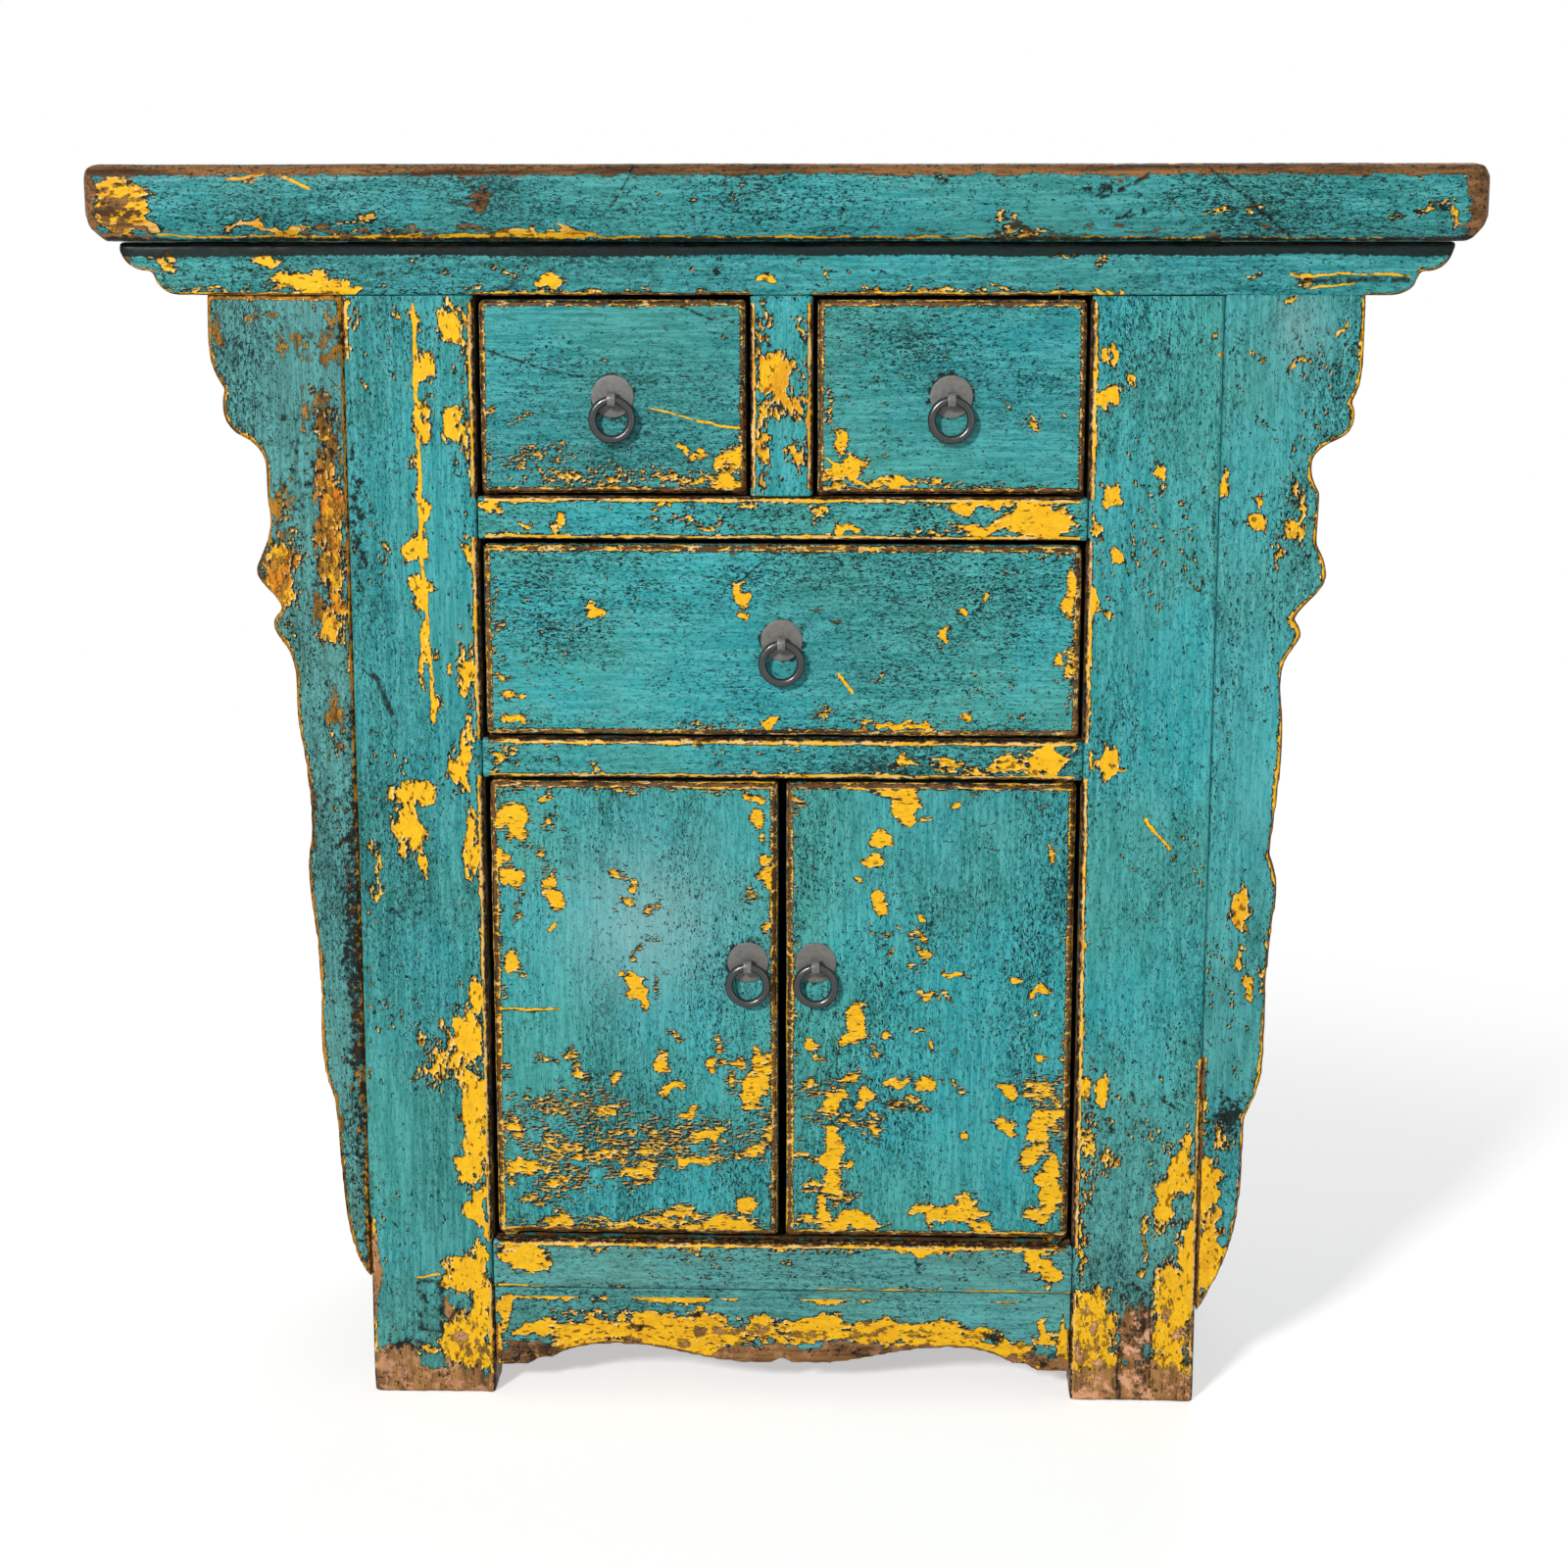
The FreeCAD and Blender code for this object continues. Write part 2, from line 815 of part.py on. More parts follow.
def top_profile(name, half, along):
    # Both edges of the top in one outline, extruded across the top.
    head = at.top_z + size("top_thickness")
    pieces = edge_profile(half, at.top_z, head)
    flipped = [[(-x, z) for x, z in piece] for piece in pieces]
    edges = []
    for piece in pieces + flipped:
        edges.append(arc(*piece) if len(piece) == 3 else run(piece))
    edges.append(run([flipped[0][0], pieces[0][0]]))
    edges.append(run([flipped[-1][-1], pieces[-1][-1]]))
    body = doc.addObject("PartDesign::Body", name)
    outline = body.newObject("Sketcher::SketchObject", name + "_outline")
    role = "XZ_Plane" if along == "y" else "YZ_Plane"
    plane = [f for f in body.Origin.OriginFeatures if f.Role == role][0]
    outline.AttachmentSupport = [(plane, "")]
    outline.MapMode = "FlatFace"
    for edge in edges:
        outline.addGeometry(edge)
    pad = body.newObject("PartDesign::Pad", name + "_pad")
    pad.Profile = outline
    pad.Midplane = True
    pad.setExpression("Length", bound("top_depth" if along == "y" else "2 * top_x"))
    return body


TOP_X = ("-top_x", "top_x")
TOP_Y = ("-top_depth / 2", "top_depth / 2")
TOP_Z = ("top_z", "top_z + top_thickness")
plan = eased(
    "top_plan",
    block("top_slab", TOP_X, TOP_Y, TOP_Z),
    size("top_corner_round"),
    lambda mid, along: abs(along.z) > 1,
)
top = shared(
    "top_whole",
    [
        plan,
        top_profile("top_ends", at.top_x, "y"),
        top_profile("top_edges", size("top_depth") / 2, "x"),
    ],
)


def tongue(name):
    reach = "(top_x - 2 * top_undercut)"
    middle = "top_z + top_thickness / 2"
    z = (f"{middle} - tongue_height / 2", f"{middle} + tongue_height / 2")
    return block(name, (f"-{reach}", reach), ("seam_y - tongue_depth", "seam_y"), z)


front_half = shared(
    "top_front_half", [top, block("top_front_slab", TOP_X, ("-top_depth / 2", "seam_y"), TOP_Z)]
)
rear_half = shared(
    "top_rear_half", [top, block("top_rear_slab", TOP_X, ("seam_y", "top_depth / 2"), TOP_Z)]
)
front_mortises = [
    top_tenon(f"top_{side}_front_mortise", side, FRONT_TOP_TENON_Y) for side in ("left", "right")
]
rear_mortises = [
    top_tenon(f"top_{side}_rear_mortise", side, REAR_TOP_TENON_Y) for side in ("left", "right")
]
node("top_front_plank", cut("top_front_cut", front_half, front_mortises + [tongue("top_groove")]))
rear_plank = joined("top_rear_tongued", [rear_half, tongue("top_tongue")])
node("top_rear_plank", cut("top_rear_cut", rear_plank, rear_mortises))

cleats = []
for i, middle in enumerate(("-cleat_spread / 2", "cleat_spread / 2")):
    cleats.append(
        block(
            f"cleat_{i}",
            (f"{middle} - cleat_width / 2", f"{middle} + cleat_width / 2"),
            ("leg_back_y", "rear_leg_y"),
            ("top_z - cleat_thickness", "top_z"),
        )
    )
node("top_battens", group("cleat_set", cleats))


# Pulls

def pull(name, x, z, front, thickness):
    # Plate, staple and ring centred at (x, z) on a board whose face is the plane Y = front.
    face = f"{front} - plate_thickness"
    plate = rod(name + "_disc", "plate_diameter / 2", "plate_thickness", (x, face, z), V(0, 1, 0))
    doc.recompute()
    bevel = doc.addObject("Part::Chamfer", name + "_bevel")
    bevel.Base = plate
    rim = size("plate_bevel")
    bevel.Edges = [
        (number, rim, rim)
        for number, edge in enumerate(plate.Shape.Edges, 1)
        if len(edge.Vertexes) == 1 and near(edge.CenterOfMass.y, plate.Placement.Base.y)
    ]
    bore = rod(
        name + "_plate_hole",
        "shank_diameter / 2 + shank_clearance",
        "plate_thickness",
        (x, face, z),
        V(0, 1, 0),
    )
    node(name + "_plate", cut(name + "_plate_cut", bevel, [bore]))

    eye_y = f"{face} - eye_radius"
    eye_z = f"{z} - eye_droop"
    eye = rod(name + "_eye", "eye_radius", "eye_width", (f"{x} - eye_width / 2", eye_y, eye_z), V(1, 0, 0))
    hole = rod(name + "_eye_hole", "eye_hole", "eye_width", (f"{x} - eye_width / 2", eye_y, eye_z), V(1, 0, 0))
    shank = rod(
        name + "_shank",
        "shank_diameter / 2",
        f"plate_thickness + eye_wall / 2 + {thickness} + clinch_thickness / 2",
        (x, f"{face} - eye_wall / 2", z),
        V(0, 1, 0),
    )
    clinch = block(
        name + "_clinch",
        (f"{x} - clinch_length / 2", f"{x} + clinch_length / 2"),
        (f"{front} + {thickness}", f"{front} + {thickness} + clinch_thickness"),
        (f"{z} - clinch_width / 2", f"{z} + clinch_width / 2"),
    )
    staple = cut(name + "_staple_cut", joined(name + "_staple_blank", [eye, shank, clinch]), [hole])
    node(name + "_staple", staple)

    ring = doc.addObject("Part::Torus", name + "_ring_torus")
    ring.setExpression("Radius1", bound("ring_radius"))
    ring.setExpression("Radius2", bound("ring_wire / 2"))
    ring.Placement.Rotation = FreeCAD.Rotation(V(1, 0, 0), 90)
    ring.setExpression("Placement.Base.x", bound(x))
    ring.setExpression("Placement.Base.y", bound(eye_y))
    ring.setExpression("Placement.Base.z", bound(f"{eye_z} - ring_hang - ring_radius"))
    node(name + "_ring", ring)


def shank_bore(name, x, z, front, thickness):
    return rod(
        name + "_shank_hole",
        "shank_diameter / 2 + shank_clearance",
        thickness,
        (x, front, z),
        V(0, 1, 0),
    )


# Drawers

def drawer(name, low, high, foot, bay_height):
    # A drawer in the bay from low to high in X that stands on runners at height foot.
    left = f"{low} + drawer_side_gap"
    right = f"{high} - drawer_side_gap"
    head = f"{foot} + {bay_height}"
    side_head = f"{head} - drawer_side_drop"
    middle_x = f"(({low}) + ({high})) / 2"
    middle_z = f"{foot} + {bay_height} / 2"
    rabbet_y = ("drawer_back_y - drawer_rabbet", "drawer_back_y")
    bottom_z = (
        f"{foot} + drawer_bottom_rise",
        f"{foot} + drawer_bottom_rise + drawer_bottom_thickness",
    )
    bottom_x = (
        f"{left} + drawer_side_thickness - drawer_bottom_groove",
        f"{right} - drawer_side_thickness + drawer_bottom_groove",
    )
    bottom_y = ("drawer_back_y - drawer_bottom_groove", "drawer_end_y")
    spans = {
        "left": (left, f"{left} + drawer_side_thickness"),
        "right": (f"{right} - drawer_side_thickness", right),
    }

    face = block(
        name + "_face",
        (left, right),
        ("drawer_y", "drawer_back_y"),
        (f"{foot} + drawer_bottom_gap", f"{head} - drawer_top_gap"),
    )
    face = eased(
        name + "_face_eased",
        face,
        size("drawer_arris_round"),
        lambda mid, along: near(mid.y, at.drawer_y),
    )
    tools = [
        block(f"{name}_{side}_rabbet", span, rabbet_y, (foot, side_head))
        for side, span in spans.items()
    ]
    tools.append(block(name + "_front_groove", bottom_x, bottom_y, bottom_z))
    tools.append(shank_bore(name, middle_x, middle_z, "drawer_y", "drawer_front_thickness"))
    node(name + "_front", cut(name + "_front_cut", face, tools))

    for side, span in spans.items():
        wall = block(f"{name}_{side}_wall", span, (rabbet_y[0], "drawer_end_y"), (foot, side_head))
        groove = block(f"{name}_{side}_groove", bottom_x, (rabbet_y[0], "drawer_end_y"), bottom_z)
        node(f"{name}_side_{side}", cut(f"{name}_{side}_cut", wall, [groove]))
    node(
        name + "_back",
        block(
            name + "_back_board",
            (spans["left"][1], spans["right"][0]),
            ("drawer_end_y - drawer_side_thickness", "drawer_end_y"),
            (bottom_z[1], side_head),
        ),
    )
    node(name + "_bottom", block(name + "_bottom_board", bottom_x, bottom_y, bottom_z))
    pull(name, middle_x, middle_z, "drawer_y", "drawer_front_thickness")


drawer("drawer_left", "-bay_x", "-divider_width / 2", "small_bay_z", "small_bay_height")
drawer("drawer_right", "divider_width / 2", "bay_x", "small_bay_z", "small_bay_height")
drawer("drawer_wide", "-bay_x", "bay_x", "wide_bay_z", "wide_bay_height")


# Doors

def door(side):
    name = f"door_{side}"
    slab = block(
        name + "_slab",
        mirrored(side, "door_meet_x", "door_hinge_x"),
        ("door_y", "door_back_y"),
        ("door_foot_z", "door_head_z"),
    )
    slab = eased(
        name + "_slab_eased",
        slab,
        size("door_arris_round"),
        lambda mid, along: near(mid.y, at.door_y),
    )
    x = mirrored_x(side, "pivot_x")
    pin_low = "sill_z - pivot_length"
    pin_high = "lower_rail_z + pivot_length"
    pin = rod(
        name + "_pivots",
        "pivot_diameter / 2",
        f"({pin_high}) - ({pin_low})",
        (x, "pivot_y", pin_low),
        V(0, 0, 1),
    )
    pull_x = mirrored_x(side, "door_meet_x + door_pull_inset")
    pull_z = "door_foot_z + door_pull_rise"
    blank = joined(name + "_blank", [slab, pin])
    bore = shank_bore(name, pull_x, pull_z, "door_y", "door_thickness")
    node(name + "_panel", cut(name + "_panel_cut", blank, [bore]))

    battens = []
    low = "door_foot_z + door_batten_margin"
    high = "door_head_z - door_batten_margin - door_batten_height"
    for i, foot in enumerate((low, high)):
        battens.append(
            block(
                f"{name}_batten_{i}",
                mirrored(side, "door_meet_x + door_batten_end", "door_hinge_x - door_batten_end"),
                ("door_back_y", "door_back_y + door_batten_thickness"),
                (foot, f"{foot} + door_batten_height"),
            )
        )
    node(name + "_battens", group(name + "_batten_set", battens))
    pull(name, pull_x, pull_z, "door_y", "door_thickness")


door("left")
door("right")

doc.recompute()
for obj in doc.Objects:
    if "Invalid" in obj.State or "Error" in obj.State:
        raise RuntimeError(f"{obj.Label} did not recompute: {obj.State}")
for piece in nodes:
    shape = piece.Shape
    if shape.isNull() or not shape.isValid() or not shape.Solids:
        raise RuntimeError(f"{piece.Label} is not a valid solid")

os.makedirs("parts", exist_ok=True)
for piece in nodes:
    piece.Shape.exportStep(f"parts/{piece.Label}.step")
    box = piece.Shape.BoundBox
    print(
        f"{piece.Label}: {len(piece.Shape.Solids)} solids, X {box.XMin:.1f}..{box.XMax:.1f},"
        f" Y {box.YMin:.1f}..{box.YMax:.1f}, Z {box.ZMin:.1f}..{box.ZMax:.1f}"
    )
print(len(nodes), "nodes")
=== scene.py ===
import json
import math

import bmesh
import bpy
import numpy as np
from mathutils import Matrix, Vector


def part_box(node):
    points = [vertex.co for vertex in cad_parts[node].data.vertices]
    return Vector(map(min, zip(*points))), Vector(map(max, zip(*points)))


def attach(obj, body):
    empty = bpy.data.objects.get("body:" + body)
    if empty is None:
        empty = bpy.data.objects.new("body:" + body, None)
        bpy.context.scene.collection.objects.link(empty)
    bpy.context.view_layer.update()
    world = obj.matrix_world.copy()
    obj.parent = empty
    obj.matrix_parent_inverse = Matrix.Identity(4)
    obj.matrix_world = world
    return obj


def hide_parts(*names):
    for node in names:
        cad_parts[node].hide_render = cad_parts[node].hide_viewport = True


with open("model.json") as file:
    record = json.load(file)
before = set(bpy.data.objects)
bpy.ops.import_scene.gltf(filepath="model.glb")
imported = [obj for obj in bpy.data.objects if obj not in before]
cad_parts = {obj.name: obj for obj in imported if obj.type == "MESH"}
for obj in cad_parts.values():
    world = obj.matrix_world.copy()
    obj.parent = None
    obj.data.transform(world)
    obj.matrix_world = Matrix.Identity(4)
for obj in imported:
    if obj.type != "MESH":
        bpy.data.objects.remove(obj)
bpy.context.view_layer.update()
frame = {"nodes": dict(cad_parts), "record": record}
cadNodes = frame["nodes"]
bodyOf = {n: b for b, members in frame["record"]["behaviour"]["bodies"].items() for n in members}
scene = bpy.context.scene
scene.view_settings.view_transform = "Standard"
mm = 0.001
print("frame loaded:", len(cadNodes), "nodes")


def linked(name, data):
    thing = bpy.data.objects.new(name, data)
    scene.collection.objects.link(thing)
    return thing


# camera at the photograph's standpoint
standpoint = {
    "place": (0.071, -2.256, 0.9085),
    "pitch": 10.87,  # degrees down
    "yaw": 1.91,  # degrees towards the left end
    "lens": 61.875,
    "sensor": 36.0,
}
cam = bpy.data.cameras.new("standpoint")
cam.lens = standpoint["lens"]
cam.sensor_width = standpoint["sensor"]
camObject = linked("standpoint", cam)
camObject.location = standpoint["place"]
camObject.rotation_euler = (
    math.radians(90 - standpoint["pitch"]),
    0,
    math.radians(standpoint["yaw"]),
)
scene.camera = camObject


# helpers for node trees
def newNode(tree, kind, inputs, settings):
    made = tree.nodes.new(kind)
    for key, value in settings.items():
        setattr(made, key, value)
    for key, value in inputs.items():
        socket = made.inputs[key]
        if isinstance(value, bpy.types.NodeSocket):
            tree.links.new(value, socket)
        else:
            socket.default_value = value
    return made


def put(tree, kind, inputs=None, **settings):
    return newNode(tree, "ShaderNode" + kind, inputs or {}, settings)


def calc(tree, operation, a, b=0.0, clamp=False):
    return put(tree, "Math", {0: a, 1: b}, operation=operation, use_clamp=clamp).outputs[0]


def added(tree, first, *others):
    for other in others:
        first = calc(tree, "ADD", first, other)
    return first


def times(tree, a, b):
    return calc(tree, "MULTIPLY", a, b)


def inverse(tree, a):
    return calc(tree, "SUBTRACT", 1.0, a)


def fade(tree, value, low, high):
    ends = {"Value": value, "From Min": low, "From Max": high}
    return put(tree, "MapRange", ends, interpolation_type="SMOOTHSTEP").outputs["Result"]


def scored(tree, value, middle, width):
    # how many widths a value lies above the middle
    return calc(tree, "DIVIDE", calc(tree, "SUBTRACT", value, middle), width)


def blend(tree, factor, a, b, how="MIX"):
    return put(tree, "Mix", {0: factor, 6: a, 7: b}, data_type="RGBA", blend_type=how).outputs[2]


def layered(tree, color, layers):
    # a layer is a mask, how strongly it shows, and its colour
    for mask, strength, tone in layers:
        color = blend(tree, times(tree, mask, strength), color, tone)
    return color


def cloud(tree, vector, scale, detail=3.0, rough=0.55, twist=0.0):
    facts = {"Vector": vector, "Scale": scale, "Detail": detail, "Roughness": rough}
    facts["Distortion"] = twist
    return put(tree, "TexNoise", facts).outputs["Fac"]


def stretched(tree, vector, scale, shift=(0, 0, 0)):
    facts = {"Vector": vector, "Location": shift, "Scale": scale}
    return put(tree, "Mapping", facts).outputs["Vector"]


def attribute(tree, name):
    return put(tree, "Attribute", attribute_name=name).outputs["Fac"]


def newGroup(name, inputs, outputs):
    tree = bpy.data.node_groups.new(name, "ShaderNodeTree")
    kinds = {"f": "NodeSocketFloat", "v": "NodeSocketVector", "c": "NodeSocketColor"}
    for key, kind in inputs.items():
        tree.interface.new_socket(key, in_out="INPUT", socket_type=kinds[kind])
    for key, kind in outputs.items():
        tree.interface.new_socket(key, in_out="OUTPUT", socket_type=kinds[kind])
    source = tree.nodes.new("NodeGroupInput").outputs
    sink = tree.nodes.new("NodeGroupOutput").inputs
    return tree, source, sink


def srgb(r, g, b):
    parts = (c / 255 for c in (r, g, b))
    return tuple(c / 12.92 if c <= 0.04045 else ((c + 0.055) / 1.055) ** 2.4 for c in parts) + (1.0,)


# finishes of the old paint and of the wood under it
tealPaint = {
    "body": srgb(56, 163, 163),
    "blue": srgb(42, 174, 190),
    "green": srgb(74, 152, 137),
    "pale": srgb(114, 208, 209),
    "deep": srgb(24, 90, 92),
    "shadow": srgb(22, 74, 70),
    "fleck": srgb(5, 27, 28),
    # painted sheen: a whitish reflection laid into the paint's colour
    "paintedSheen": srgb(160, 198, 198),
    "grey": srgb(112, 130, 112),
}
yellowCoat = {
    "body": srgb(255, 199, 34),
    "warm": srgb(204, 122, 28),
    # painted highlight on the lit rim of a chip
    "rim": srgb(255, 222, 150),
    # painted highlight where the yellow line rounds the arris
    "arris": srgb(236, 200, 150),
    # specks and veins in the yellow; also its painted shade on the shaded rim of a chip
    "speck": srgb(112, 64, 14),
}
oldWood = {
    "body": srgb(124, 86, 52),
    "pale": srgb(176, 128, 78),
    "deep": srgb(58, 37, 22),
    # dark colour of dirt, also used for painted shade and shadow
    "grimeAndShade": srgb(15, 13, 10),
    "ash": srgb(228, 170, 130),
    "amber": (1.55, 1.5, 0.45, 1.0),  # stain over the wood
}


def grainGroup():
    tree, source, sink = newGroup(
        "grainMarks",
        {"Grain": "v", "Spot": "v", "Amount": "f"},
        {"Flecks": "f", "Mottle": "f", "Streaks": "f", "Hairs": "f", "Tone": "f"},
    )
    dashes = cloud(tree, source["Spot"], 680.0, 1.0, 0.5, 1.2)
    crowd = cloud(tree, source["Spot"], 13.0, 4.0, 0.62)
    lift = times(tree, calc(tree, "SUBTRACT", crowd, 0.5), 0.62)
    level = added(tree, dashes, lift, source["Amount"])
    tree.links.new(fade(tree, level, 0.605, 0.665), sink["Flecks"])
    mottle = added(tree, cloud(tree, source["Spot"], 480.0, 4.0, 0.75, 0.6), times(tree, lift, 0.45))
    tree.links.new(fade(tree, mottle, 0.46, 0.66), sink["Mottle"])
    streak = cloud(tree, source["Grain"], 330.0, 4.0, 0.65)
    tree.links.new(fade(tree, streak, 0.33, 0.67), sink["Streaks"])
    hair = cloud(tree, source["Grain"], 800.0, 2.0, 0.6)
    tree.links.new(fade(tree, hair, 0.52, 0.68), sink["Hairs"])
    tone = cloud(tree, source["Spot"], 9.0, 3.0, 0.55)
    tree.links.new(fade(tree, tone, 0.3, 0.7), sink["Tone"])
    return tree


# where gain times value plus level is zero, half of the paint is gone
lossRules = {
    "chipGain": 5.4,
    "chipLevel": -4.35,
    "bareGain": 5.0,
    "bareLevel": -4.4,
    "lineGain": 1.5,  # for each millimetre inside the yellow line
    "brownGain": 1.6,  # for each millimetre inside the bare line
    "lineMost": 3.0,
    "lineLeast": 0.45,  # share of the line's width where it is thinnest
    "lineDrift": 1.2,  # and what is added where it is widest
    "crumbFrom": 1.9,  # how far round the chips the crumbs reach
    "crumbGain": 3.0,
    "edge": (-0.06, 0.08),  # how abruptly the paint ends
}


def lossGroup():
    tree, source, sink = newGroup(
        "paintLoss",
        {
            "Spot": "v", "Nudge": "v", "Place": "v", "Chip": "f",
            "Rim": "f", "Gold": "f", "Brown": "f", "Bare": "f",
        },
        {
            "Yellow": "f", "Lit": "f", "Shade": "f", "Outline": "f", "Wood": "f",
            "WoodRim": "f", "Specks": "f", "Veins": "f", "Warm": "f", "Depth": "f",
        },
    )
    # lines along the arrises, their width drifting; rim and widths are in millimetres
    drift = fade(tree, cloud(tree, source["Place"], 17.0, 2.0, 0.5), 0.3, 0.7)
    share = added(tree, times(tree, drift, lossRules["lineDrift"]), lossRules["lineLeast"])
    width = times(tree, source["Gold"], share)
    line = times(tree, calc(tree, "SUBTRACT", width, source["Rim"]), lossRules["lineGain"])
    chips = added(tree, times(tree, source["Chip"], lossRules["chipGain"]), lossRules["chipLevel"])
    worn = calc(tree, "MAXIMUM", chips, calc(tree, "MINIMUM", line, lossRules["lineMost"]))
    steady = added(tree, times(tree, fade(tree, source["Rim"], 0.0, 6.0), 0.6), 0.4)

    # crumbs of yellow lie only close to the larger chips
    near = times(tree, added(tree, worn, lossRules["crumbFrom"]), lossRules["crumbGain"])
    near = calc(tree, "MINIMUM", near, 0.0)

    def lossAt(side):
        facts = {0: source["Nudge"], "Scale": side}
        nudge = put(tree, "VectorMath", facts, operation="SCALE").outputs["Vector"]
        place = put(tree, "VectorMath", {0: source["Spot"], 1: nudge}, operation="ADD").outputs["Vector"]
        coarse = cloud(tree, place, 85.0, 4.0, 0.68, 0.4)
        fine = cloud(tree, place, 340.0, 1.0, 0.6)
        ragged = added(tree, times(tree, coarse, 0.6), times(tree, fine, 0.4))
        score = scored(tree, ragged, 0.5, 0.052)
        crumb = scored(tree, cloud(tree, place, 310.0, 1.0, 0.5), 0.632, 0.03)
        edge = added(tree, times(tree, score, steady), worn)
        return calc(tree, "MAXIMUM", edge, added(tree, crumb, near))

    # the same edge a hair towards the light and a hair away from it
    loss = lossAt(0.0)
    nearLight = fade(tree, lossAt(1.0), *lossRules["edge"])
    awayLight = fade(tree, lossAt(-1.0), *lossRules["edge"])
    tree.links.new(fade(tree, loss, *lossRules["edge"]), sink["Yellow"])
    tree.links.new(inverse(tree, nearLight), sink["Shade"])
    tree.links.new(inverse(tree, awayLight), sink["Lit"])
    around = fade(tree, loss, -1.4, -0.6)
    edge = calc(tree, "MAXIMUM", calc(tree, "MAXIMUM", nearLight, awayLight), around)
    tree.links.new(edge, sink["Outline"])
    tree.links.new(fade(tree, loss, -0.2, 0.8), sink["Depth"])

    other = stretched(tree, source["Spot"], (1, 1, 1), (3.1, 1.7, 5.3))
    under = cloud(tree, other, 120.0, 4.0, 0.68)
    brown = times(tree, calc(tree, "SUBTRACT", source["Brown"], source["Rim"]), lossRules["brownGain"])
    barePart = added(tree, times(tree, source["Bare"], lossRules["bareGain"]), lossRules["bareLevel"])
    barePart = calc(tree, "MAXIMUM", barePart, calc(tree, "MINIMUM", brown, lossRules["lineMost"]))
    stripped = added(tree, scored(tree, under, 0.5, 0.07), barePart)
    tree.links.new(fade(tree, stripped, -0.1, 0.3), sink["Wood"])
    tree.links.new(fade(tree, stripped, -0.9, -0.1), sink["WoodRim"])
    third = stretched(tree, source["Spot"], (1, 1, 1), (8.2, 4.4, 1.9))
    speck = cloud(tree, third, 250.0, 1.0, 0.6)
    tree.links.new(fade(tree, speck, 0.62, 0.66), sink["Specks"])
    vein = calc(tree, "ABSOLUTE", calc(tree, "SUBTRACT", cloud(tree, third, 95.0, 3.0, 0.65, 0.6), 0.5))
    tree.links.new(inverse(tree, fade(tree, vein, 0.004, 0.03)), sink["Veins"])
    tree.links.new(fade(tree, cloud(tree, third, 62.0, 4.0, 0.68), 0.4, 0.62), sink["Warm"])
    return tree


def woodGroup():
    tree, source, sink = newGroup(
        "woodGrain", {"Grain": "v", "Pale": "f"}, {"Color": "c", "Height": "f"}
    )
    bands = cloud(tree, source["Grain"], 85.0, 4.0, 0.62, 0.4)
    pores = cloud(tree, source["Grain"], 520.0, 2.0, 0.6)
    color = blend(tree, fade(tree, bands, 0.32, 0.66), oldWood["deep"], oldWood["body"])
    lift = times(tree, source["Pale"], fade(tree, bands, 0.3, 0.62))
    color = blend(tree, lift, color, oldWood["pale"])
    dark = fade(tree, pores, 0.56, 0.68)
    tree.links.new(blend(tree, times(tree, dark, 0.7), color, oldWood["deep"]), sink["Color"])
    height = calc(tree, "SUBTRACT", times(tree, bands, 0.5), times(tree, dark, 0.5))
    tree.links.new(height, sink["Height"])
    return tree


def scratchGroup():
    # distance from a straight scratch on the front, in the plane of X and Z
    tree, source, sink = newGroup(
        "scratchLine", {"Place": "v", "Start": "v", "End": "v", "Width": "f"}, {"Line": "f"}
    )

    def vector(operation, a, b=(0, 0, 0), out="Vector"):
        return put(tree, "VectorMath", {0: a, 1: b}, operation=operation).outputs[out]

    def scaled(a, factor):
        return put(tree, "VectorMath", {0: a, "Scale": factor}, operation="SCALE").outputs["Vector"]

    wander = put(tree, "TexNoise", {"Vector": source["Place"], "Scale": 55.0, "Detail": 3.0})
    offset = scaled(vector("SUBTRACT", wander.outputs["Color"], (0.5, 0.5, 0.5)), 0.006)
    place = vector("MULTIPLY", vector("ADD", source["Place"], offset), (1, 0, 1))
    fromStart = vector("SUBTRACT", place, source["Start"])
    along = vector("SUBTRACT", source["End"], source["Start"])
    share = calc(
        tree,
        "DIVIDE",
        vector("DOT_PRODUCT", fromStart, along, "Value"),
        vector("DOT_PRODUCT", along, along, "Value"),
        True,
    )
    apart = vector("SUBTRACT", fromStart, scaled(along, share))
    distance = calc(tree, "DIVIDE", vector("LENGTH", apart, out="Value"), source["Width"])
    tree.links.new(inverse(tree, fade(tree, distance, 0.25, 1.0)), sink["Line"])
    return tree


grainMarks = grainGroup()
paintLoss = lossGroup()
woodGrain = woodGroup()
scratchLine = scratchGroup()


def newMaterial(name):
    material = bpy.data.materials.new(name)
    material.use_nodes = True
    tree = material.node_tree
    return material, tree, tree.nodes["Principled BSDF"]


grainStretch = 0.07  # scale of the noise along the board, so that the grain runs long
litEdge = 1.2  # millimetres from the edge of a chip to its lit or shaded rim
woodGloss = 0.14


def bumped(tree, shader, height, strength, depth):
    # depth in millimetres
    facts = {"Height": height, "Strength": strength, "Distance": depth * mm}
    tree.links.new(put(tree, "Bump", facts).outputs["Normal"], shader.inputs["Normal"])


def along(axis, factor):
    return tuple(factor if a == axis else 1.0 for a in "xyz")


def scratches(tree, place, lines):
    total = 0.0
    for x0, z0, x1, z1, width in lines:
        facts = {
            "Place": place,
            "Start": (x0 * mm, 0, z0 * mm),
            "End": (x1 * mm, 0, z1 * mm),
            "Width": width * mm,
        }
        line = put(tree, "Group", facts, node_tree=scratchLine).outputs["Line"]
        total = line if total == 0.0 else calc(tree, "MAXIMUM", total, line)
    return total


